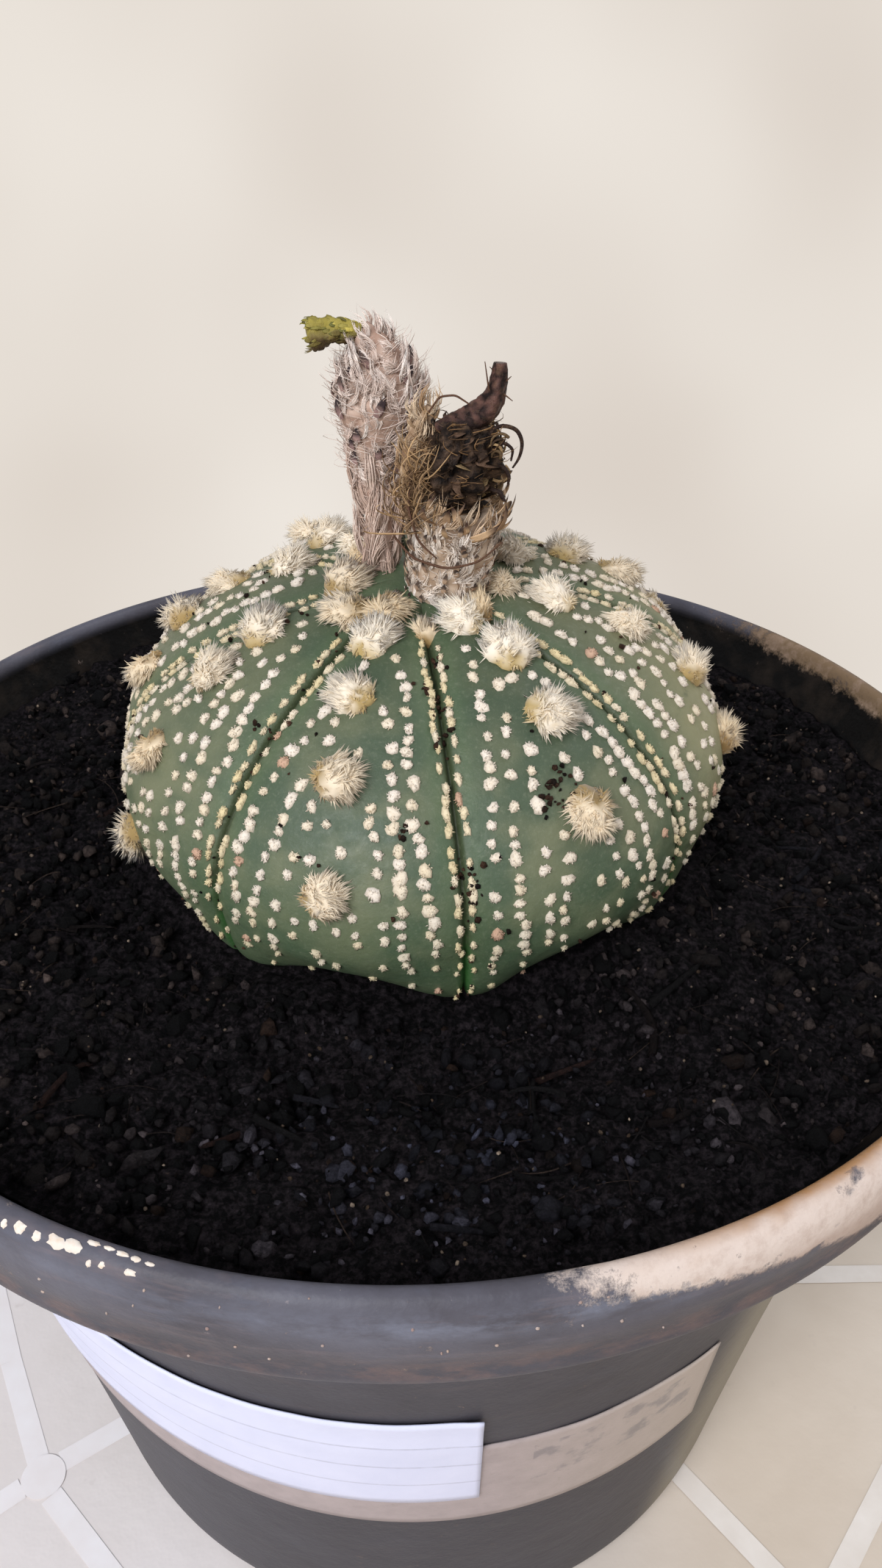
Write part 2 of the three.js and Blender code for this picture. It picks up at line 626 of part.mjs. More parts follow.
// The dark shrivelled flower: a lumpy heart, curled petals round its edge and a bent stub on top.
function flowerSolid() {
  const random = randomFrom(23);
  let flower = solidFrom(loft(ringsAlong(RIGHT_HEAD, 9, () => 0.84 + 0.3 * random())));
  flower = flower.add(solidFrom(loft(ringsAlong(RIGHT_STUB, 7, () => 0.85 + 0.3 * random()))));
  const axis = new THREE.Vector3(0.25, -0.22, 1).normalize();
  const [low, high] = [RIGHT_HEAD[0], RIGHT_HEAD.at(-1)].map((s) => new THREE.Vector3(s[0], s[1], s[2]));
  for (let i = 0; i < PETALS.count; i++) {
    const turn = (2 * Math.PI * (i + 0.4 * random())) / PETALS.count;
    const out = new THREE.Vector3(Math.cos(turn), Math.sin(turn), 0).projectOnPlane(axis).normalize();
    const height = PETALS.low + ((PETALS.high - PETALS.low) * ((i * 5) % PETALS.count)) / PETALS.count;
    const root = low.clone().lerp(high, (height - low.z) / (high.z - low.z));
    root.addScaledVector(out, PETALS.inset);
    const up = axis.clone().multiplyScalar(0.4).addScaledVector(out, 0.9).normalize();
    const length = PETALS.length + 1.6 * random();
    flower = flower.add(curledPetal(root, axis, up, length, PETALS.width, 0.5 + 0.5 * random()));
  }
  return flower;
}

// The yellow-green tip of the left bloom: a folded, frayed bundle that widens to its torn end.
function tipSolid() {
  let tip = solidFrom(loft(ringsAlong(LEFT_TIP, 8, (k, i) => (i % 2 ? 0.8 : 1.1))));
  const end = new THREE.Vector3(...LEFT_TIP.at(-1).slice(0, 3));
  const outward = new THREE.Vector3(-1, 0, 0);
  for (let i = 0; i < FRAYS.count; i++) {
    const turn = (2 * Math.PI * (i + 0.3)) / FRAYS.count;
    const out = new THREE.Vector3(0, Math.cos(turn), Math.sin(turn));
    const root = end.clone().addScaledVector(out, FRAYS.inset).addScaledVector(outward, -FRAYS.back);
    tip = tip.add(curledPetal(root, out, outward, FRAYS.length, FRAYS.width, 0.4));
  }
  return tip;
}

const pot = new THREE.Group();
pot.add(named('pot', potGeometry(), COLOURS.pot, 0.5));
pot.add(named('tape_strip', stripGeometry(TAPE), COLOURS.tape, 0.7));
pot.add(named('paper_label', stripGeometry(LABEL), COLOURS.label, 0.8));

const body = named('cactus_body', bodyGeometry(), COLOURS.body, 0.65);
leanBody(body);

const planting = new THREE.Group();
planting.position.z = POT_HEIGHT;
planting.add(named('soil', soilGeometry(), COLOURS.soil, 0.95));
planting.add(body);
const leftBloom = geometryFrom(seated(tubeSolid(LEFT_TUBE, LEFT_SCALES, 3)));
const rightBloom = geometryFrom(seated(tubeSolid(RIGHT_TUBE, RIGHT_SCALES, 9)));
planting.add(named('spent_bloom_left', leftBloom, COLOURS.tube, 0.9));
planting.add(named('spent_bloom_left_tip', geometryFrom(tipSolid()), COLOURS.tip, 0.7));
planting.add(named('spent_bloom_right', rightBloom, COLOURS.tube, 0.9));
planting.add(named('spent_bloom_right_flower', geometryFrom(flowerSolid()), COLOURS.flower, 0.8));

const part = new THREE.Group();
part.add(pot);
part.add(planting);

export default part;
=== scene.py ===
# %% [markdown]
# # A star cactus in a nursery pot
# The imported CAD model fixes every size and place. This file gives each piece the shape and surface
# that the photograph shows: wool, skin, wet bark, dried blooms, scuffed plastic and paper.
# All measures below are millimetres in the frame of the CAD, and become metres in one helper.

# %% Imports and frame
from math import atan, cos, degrees, hypot, pi, radians, sin

import bpy
import numpy as np
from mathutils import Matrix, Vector, noise


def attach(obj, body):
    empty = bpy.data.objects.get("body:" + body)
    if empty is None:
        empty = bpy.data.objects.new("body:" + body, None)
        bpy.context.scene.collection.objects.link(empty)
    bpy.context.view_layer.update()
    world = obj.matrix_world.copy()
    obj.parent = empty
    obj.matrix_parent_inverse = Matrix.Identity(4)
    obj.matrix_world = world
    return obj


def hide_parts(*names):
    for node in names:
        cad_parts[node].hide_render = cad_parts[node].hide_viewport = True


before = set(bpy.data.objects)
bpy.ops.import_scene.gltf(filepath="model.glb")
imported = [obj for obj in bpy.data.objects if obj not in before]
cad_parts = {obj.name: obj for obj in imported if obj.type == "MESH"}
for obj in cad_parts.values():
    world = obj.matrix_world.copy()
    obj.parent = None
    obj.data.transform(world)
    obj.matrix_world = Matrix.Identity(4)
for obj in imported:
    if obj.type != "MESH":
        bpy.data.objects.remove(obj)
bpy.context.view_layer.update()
MM = 0.001
POT_HEIGHT = 107.0

# %% [markdown]
# ## Helpers for meshes
# Everything is a real mesh, so one helper turns arrays of points and faces into an object, and
# another keeps a colour for every point, which the materials read.

# %% Helpers for meshes
def mesh_piece(name, points, face_groups, replaced=()):
    """One smooth mesh from points in millimetres and arrays of faces with equal corner counts."""
    corners = np.concatenate([faces.ravel() for faces in face_groups])
    sizes = np.concatenate([np.full(len(faces), faces.shape[1]) for faces in face_groups])
    mesh = bpy.data.meshes.new(name)
    mesh.vertices.add(len(points))
    mesh.vertices.foreach_set("co", (np.asarray(points) * MM).astype(np.float32).ravel())
    mesh.loops.add(len(corners))
    mesh.loops.foreach_set("vertex_index", corners.astype(np.int32))
    mesh.polygons.add(len(sizes))
    mesh.polygons.foreach_set("loop_start", (np.cumsum(sizes) - sizes).astype(np.int32))
    mesh.update(calc_edges=True)
    mesh.polygons.foreach_set("use_smooth", np.ones(len(sizes), bool))
    piece = bpy.data.objects.new(name, mesh)
    bpy.context.scene.collection.objects.link(piece)
    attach(piece, "root")
    if replaced:
        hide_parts(*replaced)
    return piece


def paint(piece, colours, layer="tint"):
    """Keep one linear colour for each point of a piece, for its material to read."""
    rgba = np.ones((len(colours), 4), np.float32)
    rgba[:, :3] = colours
    attribute = piece.data.color_attributes.new(layer, "FLOAT_COLOR", "POINT")
    attribute.data.foreach_set("color", rgba.ravel())


def linear(*rgb):
    """A colour as seen on a screen, 0 to 255, turned into the linear one that light works with."""
    value = np.asarray(rgb, float) / 255
    return np.where(value <= 0.04045, value / 12.92, ((value + 0.055) / 1.055) ** 2.4)


def smoothstep(value, low, high):
    share = np.clip((value - low) / (high - low), 0, 1)
    return share * share * (3 - 2 * share)


def mix(a, b, share):
    share = np.asarray(share)[..., None]
    return np.asarray(a) * (1 - share) + np.asarray(b) * share


def noise_at(points, size, seed, depth=3):
    """Soft noise, about -1 to 1, with lumps of the given size."""
    shift = Vector((seed * 17.3, seed * 5.9, seed * 9.1))
    return np.array([noise.fractal(Vector(p) / size + shift, 0.9, 2.0, depth) for p in points])


def unit(vectors):
    return vectors / np.maximum(np.linalg.norm(vectors, axis=-1, keepdims=True), 1e-9)


def ring_faces(rings, around, first=0, closed=True):
    """Quads between neighbouring rings of points that have the same count."""
    k = np.arange(rings - 1)[:, None]
    i = np.arange(around if closed else around - 1)[None, :]
    j = (i + 1) % around
    quads = np.stack([k * around + i, k * around + j, (k + 1) * around + j, (k + 1) * around + i], -1)
    return quads.reshape(-1, 4) + first


print("helpers ready")

# %% [markdown]
# ## Helper for hairs
# The wool of the plant is many single hairs. Each is a thin tapered tube with three sides that
# bends from its root to its tip, which an exporter keeps, as it wouldn't keep hair curves.

# %% Helper for hairs
def pointed_faces(count, steps, sides):
    """Faces of many shapes that each have some rings of points and one point on top."""
    last = (steps - 1) * sides
    caps = np.array([[last + i, last + (i + 1) % sides, steps * sides] for i in range(sides)])
    base = (np.arange(count) * (steps * sides + 1))[:, None, None]
    return [(ring_faces(steps, sides) + base).reshape(-1, 4), (caps + base).reshape(-1, 3)]


def hairs(roots, middles, tips, widths, steps=3, sides=3, blunt=0.3):
    """Bent tapered tubes: points, faces, each point's share of the way to the tip, points per hair."""
    count = len(roots)
    share = np.arange(steps) / steps
    a, b, c = (1 - share) ** 2, 2 * share * (1 - share), share**2
    centre = a[:, None, None] * roots + b[:, None, None] * middles + c[:, None, None] * tips
    ahead = unit(tips - roots)
    helper = np.where(np.abs(ahead[:, 2:3]) < 0.9, [[0.0, 0, 1]], [[1.0, 0, 0]])
    side = unit(np.cross(ahead, helper))
    other = np.cross(ahead, side)
    turn = 2 * pi * np.arange(sides) / sides
    radius = (widths / 2)[None, :, None] * (1 - (1 - blunt) * share)[:, None, None]
    body = np.stack([centre + radius * (cos(angle) * side + sin(angle) * other) for angle in turn], 2)
    points = np.concatenate([body.transpose(1, 0, 2, 3).reshape(count, -1, 3), tips[:, None]], 1)
    along = np.tile(np.concatenate([np.repeat(share, sides), [1.0]]), count)
    return points.reshape(-1, 3), pointed_faces(count, steps, sides), along, steps * sides + 1


def joined(parts):
    """Several (points, face_groups, colours) put together as one."""
    points, groups, colours, first = [], [], [], 0
    for part_points, part_groups, part_colours in parts:
        points.append(part_points)
        groups += [group + first for group in part_groups]
        colours.append(part_colours)
        first += len(part_points)
    return np.concatenate(points), groups, np.concatenate(colours)


def painted_piece(name, parts, replaced=()):
    """One painted piece from several parts."""
    points, groups, colours = joined(parts)
    piece = mesh_piece(name, points, groups, replaced)
    paint(piece, colours)
    return piece


print("hairs ready")

# %% [markdown]
# ## Helper for materials
# Each finish is a small graph: a colour that is painted on the points or mixed from noise, a bump
# from finer noise, and a roughness. Pictures could do it too, but noise needs no files and has no
# seams. It is looked up by the piece's own coordinates, so it stays put wherever the pot goes. A
# number that is the same all over goes straight on the shader's own socket, where an export finds it.

# %% Helper for materials
class Graph:
    """The nodes of a material or of the world, with short ways to add those that this scene uses."""

    def __init__(self, owner):
        owner.use_nodes = True
        self.nodes = owner.node_tree.nodes
        self.links = owner.node_tree.links

    def feed(self, socket, value):
        """Give a socket the output of another node, a number or a colour."""
        if hasattr(value, "is_linked"):
            self.links.new(value, socket)
        else:
            socket.default_value = (*value, 1.0) if socket.type == "RGBA" else value

    def add(self, kind, values=(), **settings):
        """A new node with its settings and inputs. Returns its outputs."""
        node = self.nodes.new("ShaderNode" + kind)
        for name, setting in settings.items():
            setattr(node, name, setting)
        for name, value in dict(values).items():
            self.feed(node.inputs[name], value)
        return node.outputs

    def ramp(self, value, low, high, start=0.0, end=1.0, kind="LINEAR"):
        """A value between low and high, carried to between start and end."""
        span = {"From Min": low, "From Max": high, "To Min": start, "To Max": end}
        return self.add("MapRange", {"Value": value, **span}, interpolation_type=kind)["Result"]

    def mixed(self, share, a, b, kind="MIX"):
        """One colour laid over another."""
        values = {"Factor": share, "A": a, "B": b}
        return self.add("Mix", values, data_type="RGBA", blend_type=kind)["Result"]

    def maths(self, operation, *values):
        return self.add("Math", dict(enumerate(values)), operation=operation)["Value"]


class Material(Graph):
    """A finish: the colour, roughness and bumps of one shader."""

    def __init__(self, name, roughness, specular=0.5):
        self.material = bpy.data.materials.new(name)
        super().__init__(self.material)
        self.shader = self.nodes["Principled BSDF"]
        self.shader.inputs["Roughness"].default_value = roughness
        self.shader.inputs["Specular IOR Level"].default_value = specular
        self.place = self.add("TexCoord")["Object"]

    def painted(self, layer="tint"):
        return self.add("VertexColor", layer_name=layer)["Color"]

    def noise(self, size, detail=4.0, roughness=0.6, stretch=None):
        place = self.place
        if stretch:
            place = self.add("Mapping", {"Vector": place, "Scale": stretch})["Vector"]
        values = {"Scale": 1 / (size * MM), "Detail": detail, "Roughness": roughness, "Vector": place}
        return self.add("TexNoise", values)["Fac"]

    def along(self, axis):
        return self.add("SeparateXYZ", {"Vector": self.place})[axis]

    def times(self, a, b):
        return self.maths("MULTIPLY", a, b)

    def colour(self, value):
        self.feed(self.shader.inputs["Base Color"], value)

    def roughness(self, value):
        self.feed(self.shader.inputs["Roughness"], value)

    def bump(self, *heights):
        """Each height is (value, depth in millimetres), laid over the one before."""
        below = {}
        for value, depth in heights:
            outputs = self.add("Bump", {"Distance": depth * MM, "Height": value, **below})
            below = {"Normal": outputs["Normal"]}
        self.feed(self.shader.inputs["Normal"], below["Normal"])

    def on(self, *pieces):
        for piece in pieces:
            piece.data.materials.clear()
            piece.data.materials.append(self.material)


print("material helper ready")

# %% [markdown]
# ## Camera
# The photograph was taken by hand from above and in front of the pot, about ten centimetres from the
# near rim. The rim is a true circle, so the ellipse that it makes in the picture, with the slope of
# the wall below it, gives the camera's place and tilt.

# %% Camera
FOCAL_LENGTH, SENSOR_WIDTH, NEAREST = 26.62, 36.0, 0.005
CAMERA_PLACE = (0.0, -0.12716, 0.19053)
CAMERA_PITCH, CAMERA_YAW = 33.44, 1.785
camera_data = bpy.data.cameras.new("camera")
camera_data.lens = FOCAL_LENGTH
camera_data.sensor_width = SENSOR_WIDTH
camera_data.sensor_fit = "AUTO"
camera_data.clip_start = NEAREST
camera = bpy.data.objects.new("camera", camera_data)
bpy.context.scene.collection.objects.link(camera)
camera.location = CAMERA_PLACE
camera.rotation_euler = (radians(90 - CAMERA_PITCH), 0.0, radians(-CAMERA_YAW))
bpy.context.scene.camera = camera
bpy.context.scene.view_settings.view_transform = "Standard"
print("camera", CAMERA_PLACE)

# %% [markdown]
# ## Wall
# Behind the pot is a plain light wall with a slow gradient. A sheet could stand there, but here the
# world itself is the wall, because it then lights the pot from all sides too, as a pale room does.
# Noise by direction gives the gradient, and the room is greyer overhead.

# %% Wall
WALL_DARK = linear(217, 207, 197)
WALL_LIGHT = linear(243, 237, 229)
ROOM_ABOVE = linear(150, 156, 168)
CLOUD_SCALE, CLOUD_DETAIL = 2.6, 1.5
CLOUD_RANGE = (0.33, 0.68)
OVERHEAD_RANGE = (0.10, 0.45)
world = bpy.data.worlds.new("pale room")
bpy.context.scene.world = world
room = Graph(world)
direction = room.add("TexCoord")["Generated"]
cloud = room.add("TexNoise", {"Scale": CLOUD_SCALE, "Detail": CLOUD_DETAIL, "Vector": direction})["Fac"]
wall_colour = room.mixed(room.ramp(cloud, *CLOUD_RANGE), WALL_DARK, WALL_LIGHT)
upward = room.add("SeparateXYZ", {"Vector": direction})["Z"]
overhead = room.ramp(upward, *OVERHEAD_RANGE, kind="SMOOTHSTEP")
background = room.nodes["Background"]
room.feed(background.inputs["Color"], room.mixed(overhead, wall_colour, ROOM_ABOVE))
background.inputs["Strength"].default_value = 1.0
print("wall of", len(room.nodes), "nodes")

# %% [markdown]
# ## Light
# Soft daylight falls from above on the viewer's left, and a weaker light comes from behind on the
# right. A sun would cast hard shadows, which the photograph hasn't got, so both lights are broad.

# %% Light
def area_light(name, place, target, side, watts, colour):
    """A square light of the given side in metres, turned to its target."""
    data = bpy.data.lights.new(name, "AREA")
    data.shape = "RECTANGLE"
    data.size, data.size_y = side, side
    data.energy = watts
    data.color = colour
    light = bpy.data.objects.new(name, data)
    light.location = place
    light.rotation_euler = (Vector(target) - Vector(place)).to_track_quat("-Z", "Y").to_euler()
    bpy.context.scene.collection.objects.link(light)


area_light("daylight", (-0.24, -0.46, 0.50), (0, 0, 0.09), 0.36, 4.2, (0.95, 0.97, 1.0))
area_light("window", (0.30, 0.10, 0.56), (0, 0, 0.11), 0.3, 0.9, (1.0, 0.97, 0.93))
print("two area lights")

# %% [markdown]
# ## Floor
# The pot stands on pale tiles, pinkish on the left and yellower on the right, where painted shade
# also makes them darker, as less daylight falls there. The floor is one round sheet that only sets the
# scene, and soft noise clouds and specks it.

# %% Floor
FLOOR_RADIUS, FLOOR_SIDES = 170.0, 96
# The floor turns from its lit left colour to its yellower right one, darkened by painted shade,
# between these places, in metres.
MIDDLE_FROM, MIDDLE_TO = -0.03, 0.05


def stage_sheet(name, points, faces):
    """A flat piece of the background, which isn't part of the pot."""
    mesh = bpy.data.meshes.new(name)
    mesh.from_pydata((np.array(points) * MM).tolist(), [], faces)
    sheet = bpy.data.objects.new(name, mesh)
    bpy.context.scene.collection.objects.link(sheet)
    return sheet


floor_turn = np.linspace(0, 2 * pi, FLOOR_SIDES + 1)[:-1]
floor_points = np.stack([np.sin(floor_turn), -np.cos(floor_turn), 0 * floor_turn], 1) * FLOOR_RADIUS
floor = stage_sheet("floor", floor_points, [list(range(FLOOR_SIDES))])
tile = Material("floor tile", 0.5)
tile_clouds = tile.ramp(tile.noise(60, 5.0), 0.35, 0.7)
pinkish = tile.mixed(tile_clouds, linear(232, 222, 216), linear(246, 238, 236))
# Yellower on the right, and darker there by painted shade.
yellowish = tile.mixed(tile_clouds, linear(200, 184, 166), linear(216, 202, 186))
tile_colour = tile.mixed(tile.ramp(tile.along("X"), MIDDLE_FROM, MIDDLE_TO), pinkish, yellowish)
tile_specks = tile.ramp(tile.noise(6, 3.0), 0.68, 0.8, 0.0, 0.4)
tile.colour(tile.mixed(tile_specks, tile_colour, linear(176, 162, 152)))
tile.bump((tile.noise(8), 0.2))
tile.on(floor)
print("floor", FLOOR_RADIUS, "mm in radius")

# %% [markdown]
# ## Pale bands on the floor
# The tiles carry paler bands that meet in a small disc. They could be a mask in the material, but
# flat strips just above the tiles are easier to place. Each strip lies a little higher than the
# last, because two faces at one level would show dark spots where they cross.

# %% Pale bands on the floor
# The ends of each band's middle line.
BANDS = [
    ((-60.8, -31.0), (-69.6, -14.5)), ((-69.6, -14.5), (-92.0, 32.0)), ((-57.0, -31.4), (-38.0, -19.8)),
    ((-57.4, -36.4), (-36.0, -57.5)), ((-62.2, -35.2), (-92.0, -57.0)), ((28.0, -20.5), (56.0, -56.5)),
    ((56.0, -56.5), (84.0, -25.5)), ((66.0, -2.6), (120.0, -3.4)),
]
BAND_WIDTH, LOWEST_BAND, BAND_STEP = 3.4, 0.08, 0.01
DISC_PLACE, DISC_RADIUS, DISC_LEVEL, DISC_SIDES = (-59.3, -33.6), 3.4, 0.2, 36
band_points, band_faces = [], []
for k, ((ax, ay), (bx, by)) in enumerate(BANDS):
    half = BAND_WIDTH / 2 / hypot(bx - ax, by - ay)
    sx, sy = (by - ay) * half, -(bx - ax) * half
    corners = [(ax + sx, ay + sy), (bx + sx, by + sy), (bx - sx, by - sy), (ax - sx, ay - sy)]
    band_faces.append(list(range(len(band_points), len(band_points) + 4)))
    band_points += [(x, y, LOWEST_BAND + BAND_STEP * k) for x, y in corners]
band_faces.append(list(range(len(band_points), len(band_points) + DISC_SIDES)))
for angle in 2 * pi * np.arange(DISC_SIDES) / DISC_SIDES:
    x, y = DISC_PLACE[0] + DISC_RADIUS * sin(angle), DISC_PLACE[1] + DISC_RADIUS * cos(angle)
    band_points.append((x, y, DISC_LEVEL))
bands = stage_sheet("floor_bands", band_points, band_faces)
pale_tile = Material("pale tile bands", 0.5)
pale_clouds = pale_tile.ramp(pale_tile.noise(9, 4.0), 0.35, 0.7)
left_band = pale_tile.mixed(pale_clouds, linear(246, 238, 236), linear(252, 247, 247))
# The right band is darker too: painted shade, as on the floor.
right_band = pale_tile.mixed(pale_clouds, linear(220, 210, 200), linear(232, 224, 216))
shade_rightward = pale_tile.ramp(pale_tile.along("X"), MIDDLE_FROM, MIDDLE_TO)
pale_tile.colour(pale_tile.mixed(shade_rightward, left_band, right_band))
pale_tile.on(bands)
print("bands", len(BANDS))

# %% [markdown]
# ## Outline of the pot
# A round nursery pot of grey moulded plastic, with a rolled collar, a thin wall and a foot ring. Half
# of its section is an open line from the middle of the underside, round the outside and the rim, to
# the middle of the floor inside. Moulded plastic has no sharp corner, so each round of easing turns
# every corner into a short bevel.

# %% Outline of the pot
COLLAR_BOTTOM = 97.0
WALL_TOP_RADIUS, WALL_BASE_RADIUS = 70.2, 53.0
WALL_SLOPE = (WALL_TOP_RADIUS - WALL_BASE_RADIUS) / COLLAR_BOTTOM
WALL_THICKNESS = 1.8
# The real wall is a little wider at the foot than this cone and narrower at the top: its radius less
# the cone's, by height.
WALL_SHIFT = [0, 15, 30, 45, 60, 75, 97], [1.0, 0.1, -0.75, -1.4, -1.95, -2.35, -2.7]
# Radius and height along the outline, in millimetres.
POT_OUTLINE = [
    (1.5, 1.6), (24, 1.6), (47.2, 1.6), (48.2, 0.0), (53.0, 0.0), (54.1, 0.9), (55.3, 11.3),
    (57.1, 26), (59.0, 41), (61.1, 56), (63.3, 71), (65.7, 86), (66.9, 93.5), (67.4, 95.8),
    (68.0, 96.4), (71.9, 96.5), (72.4, 95.5), (73.9, 95.4), (74.4, 96.2), (74.3, 97.6),
    (74.5, 99.2), (75.0, 101.2), (75.0, 103.4), (74.75, 105.1), (74.0, 106.5), (73.1, 107.0),
    (72.3, 106.8), (71.8, 105.9), (71.6, 104.6), (69.9, 100.6), (68.6, 98.4), (65.6, 95.4), (63.4, 83),
    (60.3, 63), (57.5, 43), (54.9, 23), (53.2, 7.5), (51.6, 3.9), (24, 3.8), (1.5, 3.8),
]
EASING_ROUNDS = 2


def eased(outline, rounds):
    """Cuts the corners of an open outline, and keeps its two ends."""
    line = np.array(outline, float)
    for _ in range(rounds):
        a, b = line[:-1], line[1:]
        cut = np.stack([a * 0.75 + b * 0.25, a * 0.25 + b * 0.75], 1).reshape(-1, 2)
        line = np.concatenate([line[:1], cut, line[-1:]])
    return line


outline = eased(POT_OUTLINE, EASING_ROUNDS)
rings = len(outline)
print("outline of", rings, "points")

# %% [markdown]
# ## Turning the pot
# A pot like this is round about its axis, so the outline is turned as on a lathe: a ring of points
# for each point of the outline. A Screw modifier could turn it as well, but arrays let each point
# keep its azimuth and radius, which say later where the pot is crusted, dusty or worn.

# %% Turning the pot
POT_SEGMENTS = 264


def lathe(outline, segments):
    turn = 2 * pi * np.arange(segments) / segments
    radius, z = outline[:, 0][:, None], outline[:, 1][:, None]
    ring = np.stack([radius * np.sin(turn), -radius * np.cos(turn), z + 0 * turn], -1)
    return ring.reshape(-1, 3)


pot_points = lathe(outline, POT_SEGMENTS)
pot_radius = np.hypot(pot_points[:, 0], pot_points[:, 1])
# Degrees round the pot: 0 in front, and growing to the right.
pot_azimuth = np.degrees(np.arctan2(pot_points[:, 0], -pot_points[:, 1]))
print("turned", len(pot_points), "points")

# %% [markdown]
# ## Lime crust
# Hard water left a beige crust on the right of the rim. Its lower edge hangs further down the collar
# to the right, and a few bare spots show the plastic. Each point keeps how well inside the crust it
# lies, and is lifted a little there, so the crust has a real edge. The material later breaks the edge
# up with noise that is finer than the points stand apart.

# %% Lime crust
# Azimuths, and the height of the crust's lower edge at each.
CRUST_EDGE = [4, 10, 15, 22, 28, 32, 40], [107.0, 105.8, 104.5, 102.9, 101.2, 98.4, 96.0]
CRUST_STARTS, CRUST_ENDS = (4, 15), (118, 140)
CRUST_LIFT = 0.07
# Bare spots in the crust: azimuth, height and reach.
BARE = [(30.5, 106.2, 0.75), (31.6, 106.7, 0.4), (27.2, 101.6, 0.6), (18.0, 105.0, 0.35), (24.0, 103.4, 0.3)]
# The collar stands outside this radius and above this height.
COLLAR_RADIUS, COLLAR_LEVEL = 71, 95.5


def crust_field(azimuth, radius, z):
    """How far the crust reaches here: 1 well inside it, 0 outside. Azimuth in degrees."""
    lower_edge = np.interp(azimuth, *CRUST_EDGE)
    top = smoothstep(z, lower_edge - 1.4, lower_edge + 1.6) * smoothstep(radius, 71.0, 72.0)
    return top * smoothstep(azimuth, *CRUST_STARTS) * (1 - smoothstep(azimuth, *CRUST_ENDS))


pot_height = pot_points[:, 2]
crust = crust_field(pot_azimuth, pot_radius, pot_height)
for azimuth, height, reach in BARE:
    across = np.hypot(radians(1) * (pot_azimuth - azimuth) * 74, pot_height - height)
    crust = crust - 0.9 * np.clip(1.4 - across / reach, 0, 1) * (pot_radius > 73.0)
crust = np.maximum(crust, 0)
rim_band = (pot_height > COLLAR_LEVEL) & (pot_radius > COLLAR_RADIUS)
crumble = np.zeros(len(pot_points))
crumble[rim_band] = noise_at(pot_points[rim_band], 1.6, 4)
outward = pot_points * [1, 1, 0] / np.maximum(pot_radius, 1)[:, None]
lift = CRUST_LIFT * smoothstep(crust + 0.3 * crumble, 0.35, 0.6)
pot_points = pot_points + outward * lift[:, None]
pot_faces = ring_faces(rings, POT_SEGMENTS)
underside = np.arange(POT_SEGMENTS)[None, ::-1]
inner_floor = np.arange(POT_SEGMENTS)[None, :] + (rings - 1) * POT_SEGMENTS
pot = mesh_piece("nursery_pot", pot_points, [pot_faces, underside, inner_floor], ["pot"])
print("crusted points", int((crust > 0.5).sum()))

# %% [markdown]
# ## Where the pot is soiled, and where its light and shade are painted
# A painted bluish sheen lies along the shoulder of the collar in front, where it mirrors the daylight.
# Below, the collar is brown with splashed earth, and the wall under it is darker with painted shade.
# The right of the wall is lighter with painted reflected light, and inside, the pot is black with soil
# and painted shade. Painting by hand would do, but rules by height and azimuth are easier to change.
# Each mark is one channel of a colour kept at the points, and the crust gets its tint here too, rusty
# towards the soil.

# %% Where the pot is soiled, and where its light and shade are painted
SHEEN_LEVEL, SPLASH_LEVEL = 104.6, 97.6
is_outside = np.arange(len(pot_points)) // POT_SEGMENTS < rings * 0.5
is_inside = np.arange(len(pot_points)) // POT_SEGMENTS > rings * 0.55
zones = np.zeros((len(pot_points), 3))
zones[:, 0] = crust
# Inside the pot: soil and painted shade, darkening the wall below the rim.
zones[:, 1] = is_inside * (pot_radius < 71.9) * smoothstep(pot_height, 106.4, 104.6)
# Painted shade on the wall under the collar, deepening further down.
zones[:, 2] = smoothstep(pot_height, 103.0, 98.0) * (0.6 + 0.4 * smoothstep(pot_height, 98.0, 60.0))
paint(pot, zones, "zones")

rust = (1 - smoothstep(pot_radius + 0.6 * crumble, 72.3, 74.3)) * smoothstep(pot_azimuth, 8, 26)
crust_tint = mix(linear(210, 194, 184), linear(164, 122, 82), rust)
hanging = smoothstep(SHEEN_LEVEL + 0.8 * crumble - pot_height, 0, 3)
crust_tint = mix(crust_tint, linear(176, 154, 142), 0.7 * hanging)
crust_tint = mix(crust_tint, linear(112, 94, 74), 0.9 * smoothstep(pot_azimuth, 56, 92))
paint(pot, crust_tint, "crust")

in_front = (1 - smoothstep(np.abs(pot_azimuth), 40, 80)) * (0.4 + 0.6 * smoothstep(pot_azimuth, -18, 4))
on_right = smoothstep(pot_azimuth, 33, 44) * (1 - smoothstep(pot_azimuth, 60, 90))
earth_and_painted_light = np.zeros((len(pot_points), 3))
# Painted bluish sheen along the collar's shoulder, where it mirrors the daylight.
earth_and_painted_light[:, 0] = np.exp(-(((pot_height - SHEEN_LEVEL) / 1.3) ** 2)) * (pot_radius > 73.5) * in_front
earth_and_painted_light[:, 1] = np.exp(-(((pot_height - SPLASH_LEVEL) / 2.4) ** 2)) * (pot_radius > 72.5)
# Painted light reflected on to the right of the wall.
earth_and_painted_light[:, 2] = (pot_height < 95.0) * is_outside * on_right
paint(pot, earth_and_painted_light, "earth_and_painted_light")
print("zones, crust tint and wear at", len(pot_points), "points")

# %% [markdown]
# ## Drainage holes
# A ring of round holes lets water out of the floor, which the soil and the ground hide. They are cut
# with a Boolean, because a cylinder through the floor is the plainest way to say what a hole is.

